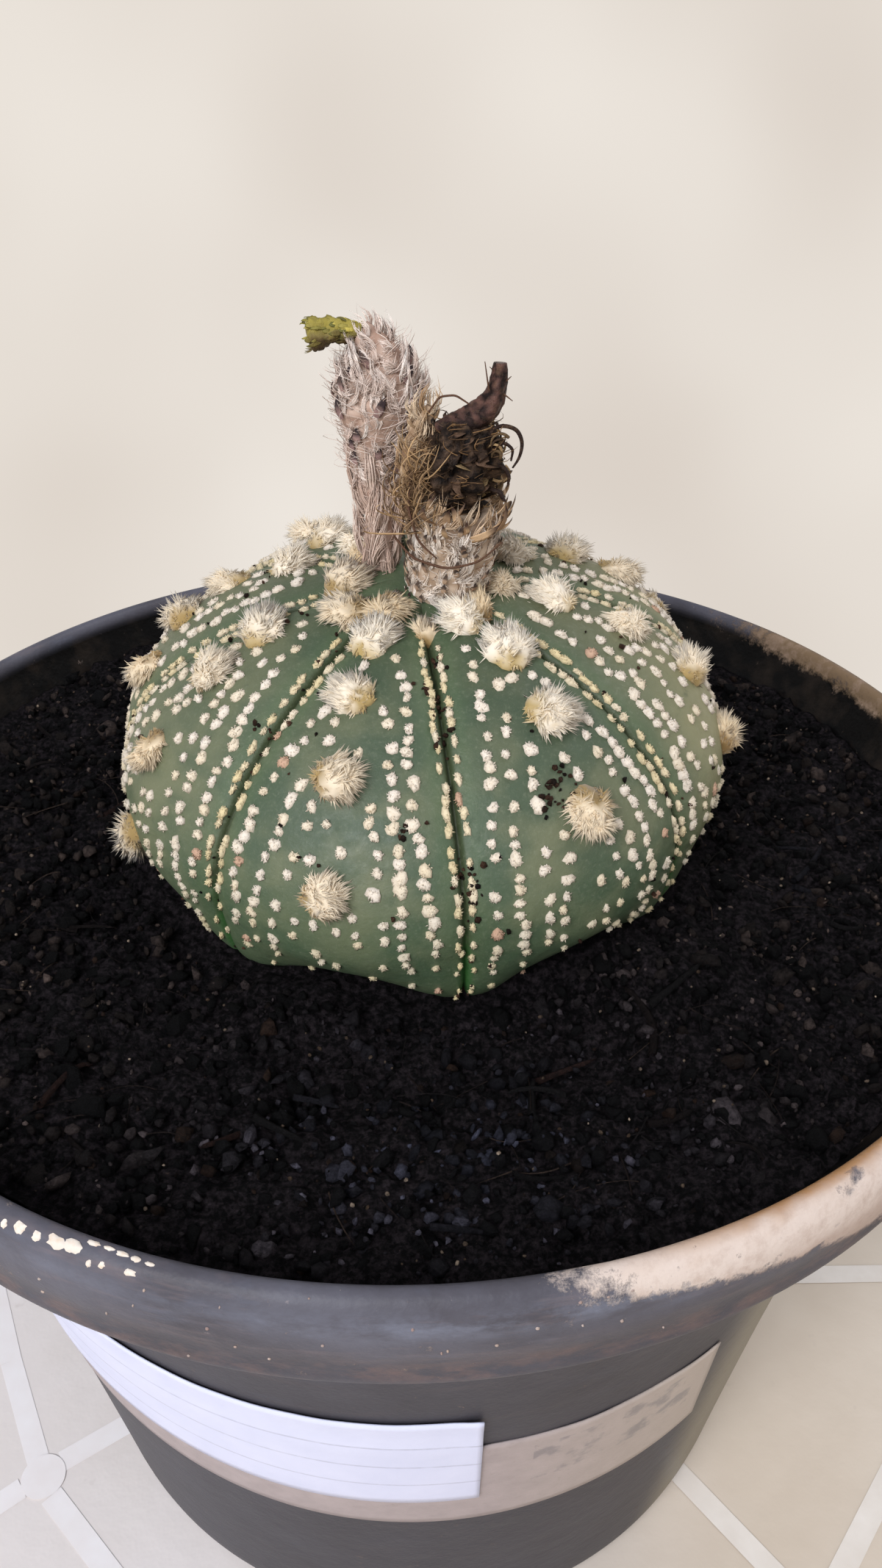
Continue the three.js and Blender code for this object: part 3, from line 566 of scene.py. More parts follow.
# %% Drainage holes
DRAIN_HOLES, DRAIN_RADIUS, DRAIN_CIRCLE = 8, 4.5, 36.0
CUTTER_SIDES, CUTTER_HEIGHT, CUTTER_LEVEL = 28, 12, 3
for k in range(DRAIN_HOLES):
    turn = radians((k + 0.5) * 360 / DRAIN_HOLES)
    bpy.ops.mesh.primitive_cylinder_add(
        vertices=CUTTER_SIDES,
        radius=DRAIN_RADIUS * MM,
        depth=CUTTER_HEIGHT * MM,
        location=(DRAIN_CIRCLE * sin(turn) * MM, DRAIN_CIRCLE * cos(turn) * MM, CUTTER_LEVEL * MM),
    )
    cutter = bpy.context.object
    modifier = pot.modifiers.new("drain", "BOOLEAN")
    modifier.object = cutter
    modifier.solver = "EXACT"
    bpy.context.view_layer.objects.active = pot
    bpy.ops.object.modifier_apply(modifier=modifier.name)
    bpy.data.objects.remove(cutter)
print("drainage holes", DRAIN_HOLES)

# %% [markdown]
# ## Plastic of the pot
# The grey is never even: clouds, streaks that run down, bluish washes and small scuffs. Each is a
# noise of its own size laid over the last, and the painted channels say where earth, soil, painted
# shade, a painted sheen and painted reflected light come on top. Noise added to the crust's channel
# breaks up its edge.

# %% Plastic of the pot
plastic = Material("grey plastic", 0.5, 0.2)


def channels(layer):
    """The red, green and blue of a painted layer of the pot."""
    outputs = plastic.add("SeparateColor", {"Color": plastic.painted(layer)})
    return outputs["Red"], outputs["Green"], outputs["Blue"]


crust_here, soil_and_painted_shade_here, painted_shade_here = channels("zones")
painted_sheen_here, earthy_here, painted_reflected_light_here = channels("earth_and_painted_light")
clouds = plastic.ramp(plastic.noise(14, 5.0), 0.3, 0.72)
streaks = plastic.ramp(plastic.noise(5, 4.0, 0.7, (0.35, 0.35, 3.0)), 0.54, 0.76, 0.0, 0.55)
washes = plastic.ramp(plastic.noise(7, 5.0, 0.7, (0.4, 0.4, 2.0)), 0.56, 0.8, 0.0, 0.35)
scuffs = plastic.ramp(plastic.noise(1.1, 5.0, 0.75), 0.66, 0.76, 0.0, 0.6)
patchy = plastic.ramp(plastic.noise(4, 6.0, 0.7, (0.5, 0.5, 1.4)), 0.4, 0.66, 0.0, 0.6)
earthy = plastic.ramp(plastic.noise(3, 6.0, 0.75, (0.6, 0.6, 1.6)), 0.44, 0.66, 0.0, 0.75)
# Near-black soil with painted shade, for the inside of the pot.
soiled = plastic.mixed(plastic.ramp(plastic.noise(5, 5.0), 0.45, 0.7), linear(3, 2, 2), linear(34, 27, 22))
grey = plastic.mixed(clouds, linear(71, 68, 74), linear(96, 95, 105))
for share, colour in (
    (streaks, linear(124, 108, 108)),
    (washes, linear(108, 118, 140)),
    (scuffs, linear(160, 148, 148)),
    # Painted shade under the collar.
    (plastic.times(painted_shade_here, 0.8), linear(50, 48, 53)),
    # Painted bluish sheen on the collar's shoulder.
    (plastic.times(painted_sheen_here, patchy), linear(132, 137, 154)),
    (plastic.times(earthy_here, earthy), linear(112, 92, 88)),
    # Painted light reflected on the right of the wall.
    (plastic.times(painted_reflected_light_here, 0.6), linear(160, 150, 128)),
    (soil_and_painted_shade_here, soiled),
):
    grey = plastic.mixed(share, grey, colour)

crumbling = plastic.ramp(plastic.noise(2.6, 6.0, 0.8), 0.25, 0.75, -0.55, 0.55)
crusted = plastic.ramp(plastic.maths("ADD", crust_here, crumbling), 0.3, 0.72)
mottle = plastic.ramp(plastic.noise(2.6, 6.0, 0.75), 0.48, 0.8, 0.0, 0.75)
crust_colour = plastic.mixed(mottle, plastic.painted("crust"), linear(168, 144, 130))
plastic.colour(plastic.mixed(crusted, grey, crust_colour))
plastic.roughness(plastic.ramp(crusted, 0.0, 1.0, 0.45, 0.85))
plastic.bump((plastic.noise(0.5, 6.0), 0.05), (plastic.noise(6.0, 4.0), 0.25), (crusted, 0.12))
plastic.on(pot)
print("plastic of", len(plastic.nodes), "nodes")

# %% [markdown]
# ## Chips of lime
# On the left of the rim the same lime sits as chips, and specks of it are scattered over the collar.
# They are thin flakes with ragged edges, laid on the moulded surface, because the pot's own points
# stand almost 2 mm apart and colour kept there would be too coarse.

# %% Chips of lime
# Azimuth, radius, half length round the rim and half width across it.
CHIPS = [
    (-27.9, 74.2, 0.4, 0.4), (-26.7, 73.9, 0.65, 0.6), (-25.3, 74.0, 0.5, 0.45), (-23.8, 73.8, 1.1, 0.6),
    (-22.6, 73.6, 1.0, 0.7), (-21.4, 72.9, 0.7, 0.25), (-20.2, 72.9, 0.6, 0.2), (-19.2, 73.0, 0.7, 0.25),
    (-18.2, 73.1, 0.55, 0.3), (-17.2, 73.2, 0.5, 0.2), (-20.3, 74.3, 0.35, 0.3), (-18.3, 74.2, 0.6, 0.35),
    (-21.2, 74.5, 0.3, 0.35), (-31.5, 73.6, 0.5, 0.4),
]
SPECKS = 26
FLAKE_SIDES = 12
# Each flake has two rings, by share of its size and height over the plastic, and a point on top.
FLAKE_RINGS, FLAKE_TOP = ((1.0, -0.06), (0.75, 0.1)), 0.13
# The outline from the crest of the rim down the outside, and how far its points are from there.
outer_line = outline[: int(rings * 0.72)]
downward = outer_line[int(np.argmax(outer_line[:, 1])) :: -1]
run = np.concatenate([[0], np.cumsum(np.hypot(*np.diff(downward, axis=0).T))])


def collar_point(azimuth, distance):
    """A point of the collar by its distance from the crest, its normal, and the ways along and down."""
    radius, z = [np.interp(distance, run, downward[:, k]) for k in (0, 1)]
    next_radius, next_z = [np.interp(distance + 0.2, run, downward[:, k]) for k in (0, 1)]
    out, fall = next_radius - radius, next_z - z
    turn = radians(azimuth)
    here = np.array([radius * sin(turn), -radius * cos(turn), z])
    normal = unit(np.array([-fall * sin(turn), fall * cos(turn), out]))
    down = unit(np.array([out * sin(turn), -out * cos(turn), fall]))
    return here, normal, np.array([cos(turn), sin(turn), 0]), down


CHIP = np.random.default_rng(17)
# A chip a little inside the crest has a distance below 0.
flakes = [(azimuth, max(r - downward[0, 0], -0.6), u, v, 1.0) for azimuth, r, u, v in CHIPS]
flakes += [
    (CHIP.uniform(-34, 20), CHIP.uniform(0.5, 11), *CHIP.uniform(0.08, 0.22, 2), CHIP.uniform(0.0, 0.35))
    for _ in range(SPECKS)
]
flake_points, flake_faces, flake_colours = [], [], []
for azimuth, distance, half_long, half_wide, brightness in flakes:
    here, normal, along, down = collar_point(azimuth, max(distance, 0.0))
    here = here + down * min(distance, 0.0)
    first = len(flake_points)
    for share, rise in FLAKE_RINGS:
        for angle in 2 * pi * np.arange(FLAKE_SIDES) / FLAKE_SIDES:
            ragged = share * CHIP.uniform(0.7, 1.15)
            flat = cos(angle) * half_long * ragged * along + sin(angle) * half_wide * ragged * down
            flake_points.append(here + flat + normal * rise)
    flake_points.append(here + normal * FLAKE_TOP)
    for i in range(FLAKE_SIDES):
        low, next_low = first + i, first + (i + 1) % FLAKE_SIDES
        high, next_high = low + FLAKE_SIDES, next_low + FLAKE_SIDES
        flake_faces += [[next_low, low, high], [next_low, high, next_high]]
        flake_faces.append([next_high, high, first + 2 * FLAKE_SIDES])
    tint = mix(linear(150, 128, 122), linear(232, 220, 208), brightness)
    flake_colours += [tint * CHIP.uniform(0.85, 1.0)] * (2 * FLAKE_SIDES + 1)
chips = mesh_piece("lime_chips", np.array(flake_points), [np.array(flake_faces)])
paint(chips, np.array(flake_colours))
lime = Material("lime flakes", 0.85, 0.2)
rusty = lime.ramp(lime.noise(0.7, 5.0), 0.5, 0.7, 0.0, 0.5)
lime.colour(lime.mixed(rusty, lime.painted(), linear(206, 178, 148)))
lime.on(chips)
print("chips and specks", len(flakes))

# %% [markdown]
# ## Laying a sheet on the wall
# A beige adhesive tape runs round the front of the wall, and a white paper label is stuck over it.
# Both are thin sheets that bend but don't stretch. A cone can be unrolled flat, so each sheet is laid
# out flat first, by its place to the left or right and its distance from the cone's tip, and its
# points are then rolled on to the wall. Its flat measures stay on it as a map for its material.

# %% Laying a sheet on the wall
CONE_SINE = sin(atan(WALL_SLOPE))
SHEET_COLUMNS, SHEET_ROWS = 160, 17


def on_cone(x, distance, lift):
    """Points of a flat sheet, rolled on to the wall and lifted off it."""
    slant = np.hypot(x, distance)
    turn = np.arctan2(x, distance) / CONE_SINE
    radius = slant * CONE_SINE
    z = (radius - WALL_BASE_RADIUS) / WALL_SLOPE
    radius = radius + np.interp(z, *WALL_SHIFT)
    return np.stack([(radius + lift) * np.sin(turn), -(radius + lift) * np.cos(turn), z], -1)


def plate_faces(columns, rows):
    """Front, back and edges of a plate, whose back points follow its front ones in the same order."""
    count = columns * rows
    column, row = np.meshgrid(np.arange(columns - 1), np.arange(rows - 1), indexing="ij")
    corner = (column * rows + row).ravel()
    front = np.stack([corner, corner + rows, corner + rows + 1, corner + 1], 1)
    border = np.concatenate([
        np.arange(columns) * rows,
        (columns - 1) * rows + np.arange(1, rows),
        (np.arange(columns - 2, -1, -1)) * rows + rows - 1,
        np.arange(rows - 2, 0, -1),
    ])
    after = np.roll(border, -1)
    return [front, front[:, ::-1] + count, np.stack([border, border + count, after + count, after], 1)]


def strip(name, sheet, inner, outer, curl, node):
    """A thin closed sheet between two distances from the wall, with slightly uneven edges."""
    x, distance = np.meshgrid(
        np.linspace(sheet["left"], sheet["right"], SHEET_COLUMNS),
        np.linspace(sheet["bottom"], sheet["top"], SHEET_ROWS),
        indexing="ij",
    )
    share = (distance - sheet["bottom"]) / (sheet["top"] - sheet["bottom"])
    edge = 0.12 * np.sin(x * 0.31) + 0.08 * np.sin(x * 0.83 + 1)
    raised = curl(x, share)
    uneven = distance + edge * share * 0.5
    front, back = on_cone(x, uneven, outer + raised), on_cone(x, uneven, inner + raised)
    points = np.concatenate([front.reshape(-1, 3), back.reshape(-1, 3)])
    piece = mesh_piece(name, points, plate_faces(SHEET_COLUMNS, SHEET_ROWS), [node])
    flat = np.concatenate([np.stack([x, distance], -1).reshape(-1, 2)] * 2)
    layer = piece.data.uv_layers.new(name="sheet")
    corners = np.empty(len(piece.data.loops), np.int32)
    piece.data.loops.foreach_get("vertex_index", corners)
    layer.data.foreach_set("uv", flat[corners].astype(np.float32).ravel())
    return piece


print("cone sine", round(CONE_SINE, 4))

# %% [markdown]
# ## Tape and label
# The tape lies flat on the wall with faint waves. The label bridges the tape's upper edge, settles on
# the wall above it, and lifts a little along its top and at its right end, as old paper does.

# %% Tape and label
TAPE_SHEET = {"bottom": 341.9, "top": 364.9, "left": -108.0, "right": 38.0}
LABEL_SHEET = {"bottom": 349.6, "top": 373.0, "left": -96.0, "right": 6.7}


def tape_waves(x, share):
    return 0.05 * np.sin(x * 0.4) * share


def label_curl(x, share):
    settled = 0.22 * smoothstep(share, 0.68, 0.84)
    return 0.1 * share**4 - settled + 0.3 * smoothstep(x, 3, 7) * share


tape = strip("beige_tape", TAPE_SHEET, 0.03, 0.22, tape_waves, "tape_strip")
label = strip("white_label", LABEL_SHEET, 0.32, 0.5, label_curl, "paper_label")
print("tape and label", len(tape.data.vertices), len(label.data.vertices), "points")

# %% [markdown]
# ## Finish of the tape
# The tape is crepe-like and matt, warmer towards its right end, with grey smudges there. The smudges
# keep inside a box on the flat sheet, which the map of its measures makes easy to place.

# %% Finish of the tape
SMUDGE_MIDDLE, SMUDGE_HALF = (24.0, 356.5), (11.0, 5.5)


def sheet_axes(material):
    """Across and up the flat sheet, in millimetres."""
    flat = material.add("UVMap", uv_map="sheet")["UV"]
    axes = material.add("SeparateXYZ", {"Vector": flat})
    return axes["X"], axes["Y"]


def band(material, value, centre, half):
    """1 where a value is within half of the centre, else 0."""
    return material.maths("COMPARE", value, centre, half)


beige = Material("beige tape", 0.5)
tape_axes = sheet_axes(beige)
fibres = beige.ramp(beige.noise(3, 5.0), 0.3, 0.7)
tape_colour = beige.mixed(fibres, linear(156, 143, 142), linear(172, 158, 157))
warmer = beige.ramp(tape_axes[0], 8.0, 34.0, 0.0, 0.6)
tape_colour = beige.mixed(warmer, tape_colour, linear(188, 174, 158))
in_box = [band(beige, tape_axes[k], SMUDGE_MIDDLE[k], SMUDGE_HALF[k]) for k in (0, 1)]
smudge = beige.times(beige.times(*in_box), beige.ramp(beige.noise(3.4, 5.0), 0.5, 0.62, 0.0, 0.55))
tape_colour = beige.mixed(smudge, tape_colour, linear(112, 108, 112))
tape_specks = beige.ramp(beige.noise(0.8, 4.0), 0.62, 0.72, 0.0, 0.4)
beige.colour(beige.mixed(tape_specks, tape_colour, linear(140, 126, 118)))
beige.bump((beige.noise(0.5), 0.02), (beige.noise(7), 0.15))
beige.on(tape)
print("tape finished")

# %% [markdown]
# ## Finish of the label
# White paper that looks bluish in the daylight, with three faint lines along it. A line is a narrow
# band on the flat sheet, faded here and there by noise.

# %% Finish of the label
LABEL_LINES, LINE_HALF = (355.5, 361.0, 366.5), 0.18
paper = Material("white paper", 0.62)
_, up_label = sheet_axes(paper)
paper_clouds = paper.ramp(paper.noise(9), 0.3, 0.7)
paper_colour = paper.mixed(paper_clouds, linear(208, 211, 234), linear(217, 219, 240))
for centre in LABEL_LINES:
    faded = paper.ramp(paper.noise(1.4), 0.3, 0.6, 0.15, 0.4)
    line = paper.times(band(paper, up_label, centre, LINE_HALF), faded)
    paper_colour = paper.mixed(line, paper_colour, linear(150, 150, 168))
paper.colour(paper_colour)
paper.bump((paper.noise(0.3), 0.02), (paper.noise(9), 0.1))
paper.on(label)
print("label finished")

# %% [markdown]
# ## Form of the soil
# The pot is filled to 7 mm below its rim. The soil falls slightly to one side, has a trench in front
# of the plant and is heaped against it in two places. A sculpted surface would do as well, but a
# formula can be asked for the height anywhere, so crumbs and twigs can be laid on it later.

# %% Form of the soil
SOIL_LEVEL = -7.0


def hump(x, y, middle, spread):
    """A soft hump, 1 in its middle and fading in x and y."""
    return np.exp(-(((x - middle[0]) / spread[0]) ** 2) - ((y - middle[1]) / spread[1]) ** 2)


def soil_height(x, y):
    """The broad form of the soil: a slight fall, a trench in front of the plant and heaps round it."""
    drift = -0.012 * x + 0.016 * y
    trench = 1.6 * hump(x, y, (2, -42), (34, 9))
    heap = 1.4 * np.exp(-(((np.hypot(x, y) - 30) / 7) ** 2))
    heap = heap + 3.5 * hump(x, y, (26, -29), (10, 8))
    heap = heap + 3.2 * hump(x, y, (-12, -36), (8, 5.5))
    return POT_HEIGHT + SOIL_LEVEL + drift - trench + heap


print("soil in the middle", round(float(soil_height(0.0, 0.0)), 2), "mm high")

# %% [markdown]
# ## Ground
# The ground is a grid of rings, from under the plant out to the wall, then down inside the wall and
# back in over the floor. Clods of two sizes are pressed into its top: the distance to the nearest of
# many scattered points makes rounded lumps with gaps between them.

# %% Ground
SOIL_WALL_RADIUS = 68.6
SOIL_AROUND = 396
SOIL_GAP = 0.5
# Heights of the rings down the wall, and radii of those on the pot's floor.
WALL_RINGS, FLOOR_RINGS = (96.2, 92.0, 50.0, 8.0, 4.3), (30.0, 2.0)
FLOOR_LEVEL = 4.3


def inner_wall(z):
    return WALL_BASE_RADIUS + WALL_SLOPE * z + np.interp(z, *WALL_SHIFT) - WALL_THICKNESS


def clods(x, y):
    """Relief of the ground itself: rounded clods of two sizes with gaps between them."""
    height = np.empty(len(x))
    for i, (a, b) in enumerate(zip(x, y)):
        large = noise.voronoi(Vector((a / 4.2, b / 4.2, 2.0)))[0]
        small = noise.voronoi(Vector((a / 1.6, b / 1.6, 7.0)))[0]
        height[i] = 1.7 * (0.5 - large[0]) + 0.8 * (0.5 - small[0])
    return height


def flat_ring(radius, z, turn):
    return np.stack([radius * np.sin(turn), -radius * np.cos(turn), 0 * turn + z], 1)


soil_radii = np.concatenate([[14, 20, 26], np.linspace(29, SOIL_WALL_RADIUS, 92)])
soil_turn = 2 * pi * np.arange(SOIL_AROUND) / SOIL_AROUND
grid_radius, grid_turn = np.meshgrid(soil_radii, soil_turn, indexing="ij")
sx, sy = (grid_radius * np.sin(grid_turn)).ravel(), (-grid_radius * np.cos(grid_turn)).ravel()
sz = soil_height(sx, sy) + clods(sx, sy) + 0.5 * noise_at(np.stack([sx, sy, 0 * sx], 1), 1.0, 8)
top = np.stack([sx, sy, sz], 1).reshape(len(soil_radii), SOIL_AROUND, 3)[::-1]
low_rings = [flat_ring(inner_wall(z) - SOIL_GAP, z, soil_turn) for z in WALL_RINGS]
low_rings += [flat_ring(radius, FLOOR_LEVEL, soil_turn) for radius in FLOOR_RINGS]
soil_rings = np.concatenate([np.array(low_rings)[::-1], top])
soil_faces = ring_faces(len(soil_rings), SOIL_AROUND)
ground = mesh_piece("soil_ground", soil_rings.reshape(-1, 3), [soil_faces], ["soil"])
print("ground", len(ground.data.vertices), "points")

# %% [markdown]
# ## Helper for crumbs and grains
# Crumbs, chips and grains are small blocks of random turn and proportion. Instances would be lighter,
# but the export wants plain meshes, so thousands of blocks are worked out at once: a ball is bent out
# of shape, stretched, turned by a random quaternion and moved into place.

# %% Helper for crumbs and grains
def ball(level):
    """Points and triangles of a ball with 20 sides, each split in four at every further level."""
    bpy.ops.mesh.primitive_ico_sphere_add(subdivisions=level, radius=1.0)
    block = bpy.context.object
    points = np.array([v.co for v in block.data.vertices])
    faces = np.array([list(p.vertices) for p in block.data.polygons])
    bpy.data.objects.remove(block)
    return points, faces


def turned_blocks(draw, centres, sizes, level, ragged, colours):
    """Blocks of random turn and proportion, size by size, as one set of points, faces and colours."""
    shape, faces = ball(level)
    count = len(centres)
    quaternions = unit(draw.normal(size=(count, 4)))
    w, x, y, z = quaternions.T
    turns = np.stack([
        np.stack([1 - 2 * (y * y + z * z), 2 * (x * y - z * w), 2 * (x * z + y * w)], -1),
        np.stack([2 * (x * y + z * w), 1 - 2 * (x * x + z * z), 2 * (y * z - x * w)], -1),
        np.stack([2 * (x * z - y * w), 2 * (y * z + x * w), 1 - 2 * (x * x + y * y)], -1),
    ], 1)
    bent = shape[None] * (1 + ragged * draw.normal(size=(count, len(shape), 1)))
    bent = bent * sizes[:, None, :]
    points = np.einsum("nij,nkj->nki", turns, bent) + centres[:, None]
    base = (np.arange(count) * len(shape))[:, None, None]
    return points.reshape(-1, 3), [(faces + base).reshape(-1, 3)], np.repeat(colours, len(shape), 0)


def on_soil(draw, count, low=36.5, high=67.0):
    """Random places on the soil between two radii, in millimetres."""
    radius = np.sqrt(draw.uniform(low**2, high**2, count))
    angle = draw.uniform(0, 2 * pi, count)
    return radius * np.sin(angle), -radius * np.cos(angle)


print("ball of", len(ball(1)[0]), "points at level 1")

# %% [markdown]
# ## Loose crumbs
# The mix is bark and charcoal, black because it is moist, with paler crumbs among it that look bluish
# in front, where they mirror the daylight. This painted reflection also puts more pale crumbs and a
# lighter black in front. They lie in patches and not evenly, and painted shadow darkens them in the
# trench. A seeded draw places them, so the soil is the same on every run.

# %% Loose crumbs
SOIL = np.random.default_rng(21)
CLODS, CRUMBS = 230, 8000
BROWN_SHARE = 0.04


def crumbs(draw, count, small, large, level, ragged, sunk):
    """Crumbs between two sizes, most of them small, in patches and coloured by where they lie."""
    x, y = on_soil(draw, count)
    size = small * (large / small) ** (draw.random(count) ** 1.8)
    z = soil_height(x, y) + sunk * size + draw.normal(0, 0.45, count)
    sizes = 0.5 * size[:, None] * np.stack([
        draw.uniform(0.9, 1.3, count), draw.uniform(0.7, 1, count), draw.uniform(0.5, 0.9, count),
    ], 1)
    # Painted reflection of the daylight in front: more pale crumbs, bluer, on a lighter black.
    front_reflection = hump(x, y, (4, -52), (26, 18))
    # Painted shadow in the trench in front of the plant: the crumbs there are darker.
    trench_shadow = hump(x, y, (2, -43), (24, 8))
    patch = noise_at(np.stack([x, y, 0 * x], 1), 7.0, 41, 2)
    kind = draw.random(count) - 0.3 * patch
    z = z + 0.5 * patch
    shade = np.where(kind < 0.1 + 0.14 * front_reflection, 1.0, np.where(kind < 0.36 + 0.25 * front_reflection, 0.3, 0.0))
    shade = shade * draw.uniform(0.4, 1.0, count) * (1 - 0.5 * smoothstep(size, 0.9, 1.5))
    shade = shade * (1 - 0.7 * trench_shadow)
    black = mix(linear(5, 3, 4), linear(16, 14, 17), front_reflection * (1 - trench_shadow))
    pale = mix(linear(122, 104, 96), linear(114, 116, 138), front_reflection)
    colours = mix(black, pale, shade)
    brown = draw.random(count) < BROWN_SHARE
    colours[brown] = mix(linear(22, 14, 12), linear(56, 40, 32), draw.random(brown.sum()))
    return turned_blocks(draw, np.stack([x, y, z], 1), sizes, level, ragged, colours)


clod_parts = crumbs(SOIL, CLODS, 1.8, 3.6, 2, 0.16, -0.05)
crumb_parts = crumbs(SOIL, CRUMBS, 0.4, 2.0, 1, 0.24, 0.15)
loose = painted_piece("soil_crumbs", [clod_parts, crumb_parts])
print("clods and crumbs", CLODS + CRUMBS)

# %% [markdown]
# ## Twigs, fibres and pale grains
# Bits of twig, fine fibres and grains of sand lie on top. Twigs and fibres are the same thing at two
# widths, so the helper for hairs draws both, a little bent and with blunt ends.

# %% Twigs, fibres and pale grains
TWIGS, FIBRES, GRAINS = 46, 200, 260
TWIG_COLOURS = np.array([linear(26, 18, 17), linear(48, 30, 26), linear(20, 17, 18), linear(32, 30, 36)])
FIBRE_COLOURS = np.array([linear(44, 34, 31), linear(30, 25, 25), linear(74, 60, 52)])
GRAIN_PROPORTIONS = [1.0, 0.8, 0.7]
# Twigs stay between these radii, clear of the plant and the wall.
TWIG_NEAR, TWIG_FAR = 38.5, 66.5


def fibres(draw, count, length, width, colours):
    """Bent sticks that lie on the soil, as points, faces and colours."""
    x, y = on_soil(draw, count, 38, 64)
    angle = draw.uniform(0, 2 * pi, count)
    half = 0.5 * draw.uniform(0.4, 1, count) * length
    dx, dy = np.cos(angle) * half, np.sin(angle) * half
    bend = draw.normal(0, 0.3, (count, 2)) * half[:, None]
    ends = []
    for share in (-1, 0, 1):
        px = x + share * dx + (share == 0) * bend[:, 0]
        py = y + share * dy + (share == 0) * bend[:, 1]
        kept = np.minimum(1, TWIG_FAR / np.hypot(px, py)) * np.maximum(1, TWIG_NEAR / np.hypot(px, py))
        px, py = px * kept, py * kept
        ends.append(np.stack([px, py, soil_height(px, py) + 0.6 + draw.uniform(-0.8, 0.8, count)], 1))
    thick = width * draw.uniform(0.5, 1.3, count)
    points, faces, _, per = hairs(ends[0], ends[1], ends[2], thick, steps=7, sides=4, blunt=0.6)
    return points, faces, np.repeat(colours[draw.integers(len(colours), size=count)], per, 0)


twig_parts = fibres(SOIL, TWIGS, 9.0, 0.9, TWIG_COLOURS)
fibre_parts = fibres(SOIL, FIBRES, 8.0, 0.18, FIBRE_COLOURS)
gx, gy = on_soil(SOIL, GRAINS, 38, 66)
grain_size = SOIL.uniform(0.1, 0.32, (GRAINS, 1)) * GRAIN_PROPORTIONS
grain_colour = mix(linear(90, 72, 58), linear(214, 190, 166), SOIL.random(GRAINS) ** 2.5)
grain_centre = np.stack([gx, gy, soil_height(gx, gy) + SOIL.uniform(0.6, 1.4, GRAINS)], 1)
grain_parts = turned_blocks(SOIL, grain_centre, grain_size, 1, 0.1, grain_colour)
litter = painted_piece("soil_litter", [twig_parts, fibre_parts, grain_parts])
print("twigs, fibres and grains", TWIGS + FIBRES + GRAINS)

# %% [markdown]
# ## Finish of the soil
# Moist bark is nearly black and only a little glossy. The ground gets its specks from noise, and the
# loose pieces keep their painted colour, darkened by a grain. Two bumps of different size give both
# the rough break of bark.

# %% Finish of the soil
GRAIN_SHADE = (0.22, 0.22, 0.24)
earth = Material("moist black soil", 0.7, 0.1)
damp = earth.ramp(earth.noise(0.8, 6.0, 0.75), 0.45, 0.72)
earth_colour = earth.mixed(damp, linear(3, 2, 3), linear(60, 52, 56))
earth.colour(earth.mixed(earth.ramp(earth.noise(0.5, 3.0), 0.7, 0.76), earth_colour, linear(84, 70, 64)))
earth.bump((earth.noise(0.35, 6.0, 0.75), 0.45), (earth.noise(1.1, 6.0, 0.8), 1.0))
earth.on(ground)
bark = Material("bark and charcoal", 0.6, 0.12)
grain = bark.ramp(bark.noise(0.6, 6.0, 0.75), 0.35, 0.65)
bark.colour(bark.mixed(grain, bark.mixed(1.0, bark.painted(), GRAIN_SHADE, "MULTIPLY"), bark.painted()))
bark.bump((bark.noise(0.3, 6.0, 0.75), 0.3), (bark.noise(0.9, 6.0, 0.75), 0.7))
bark.on(loose, litter)
print("soil finished")

# %% [markdown]
# ## Shape of the body
# A low ball with eight broad ribs and eight narrow furrows, leaning a little, widest just above the
# soil. Sculpting would lose the evenness with which it grew. Instead one function gives the skin at
# any distance from the crown and any azimuth, and whatever grows from the skin uses it too.

# %% Shape of the body
BODY_CENTRE = np.array([1.5, 0.0, 7.5 + POT_HEIGHT])
BODY_LEAN = (0.121, -0.024)
BODY_RADIUS, BODY_HALF_HEIGHT = 37.6, 22.6
RIBS, FIRST_FURROW = 8, 6.2
RIB_ARC = 360 / RIBS
FURROW_DEPTH, FURROW_SPREAD = 1.15, 0.28
SCALLOP = 3.3
TABLE_STEP = 0.002


def lean(points):
    a, b = BODY_LEAN
    about_x = np.array([[1, 0, 0], [0, cos(a), -sin(a)], [0, sin(a), cos(a)]])
    about_y = np.array([[cos(b), 0, sin(b)], [0, 1, 0], [-sin(b), 0, cos(b)]])
    return points @ (about_x @ about_y).T + BODY_CENTRE


# The way along the skin has no plain formula, so a table holds it for the angles from the crown.
table_angle = np.arange(0.0, 2.6, TABLE_STEP)
pace = np.hypot(BODY_RADIUS * np.cos(table_angle[:-1]), BODY_HALF_HEIGHT * np.sin(table_angle[:-1]))
table_length = np.concatenate([[0], np.cumsum(TABLE_STEP * pace)])


def angle_at(length):
    return np.interp(length, table_length, table_angle)


def furrow_offset(azimuth):
    """Degrees from the nearest furrow, at most half a rib to each side."""
    return (azimuth - FIRST_FURROW + RIB_ARC / 2) % RIB_ARC - RIB_ARC / 2


def skin(length, azimuth, lift=0.0):
    """A point of the skin, by its distance from the crown along the skin and its azimuth."""
    angle = angle_at(length)
    out, height = BODY_RADIUS * np.sin(angle), BODY_HALF_HEIGHT * np.cos(angle)
    nx, nz = out / BODY_RADIUS**2, height / BODY_HALF_HEIGHT**2
    size = np.maximum(np.hypot(nx, nz), 1e-9)
    offset = furrow_offset(azimuth)
    away = np.abs(np.radians(offset)) * out
    groove = FURROW_DEPTH * np.exp(-((away / FURROW_SPREAD) ** 1.35))
    rounding = 0.32 * np.exp(-((away / 2.0) ** 2)) + 0.7 * np.exp(-((away / 8) ** 2))
    sink = smoothstep(out, 2, 12) * (groove + rounding)
    low = smoothstep(angle, radians(94), radians(130))
    scallop = SCALLOP * low * np.cos(np.radians(offset * RIBS))
    reach = out + nx / size * (lift - sink) + scallop
    turn = np.radians(azimuth)
    z = height + nz / size * (lift - sink)
    return lean(np.stack([reach * np.sin(turn), -reach * np.cos(turn), z], -1))


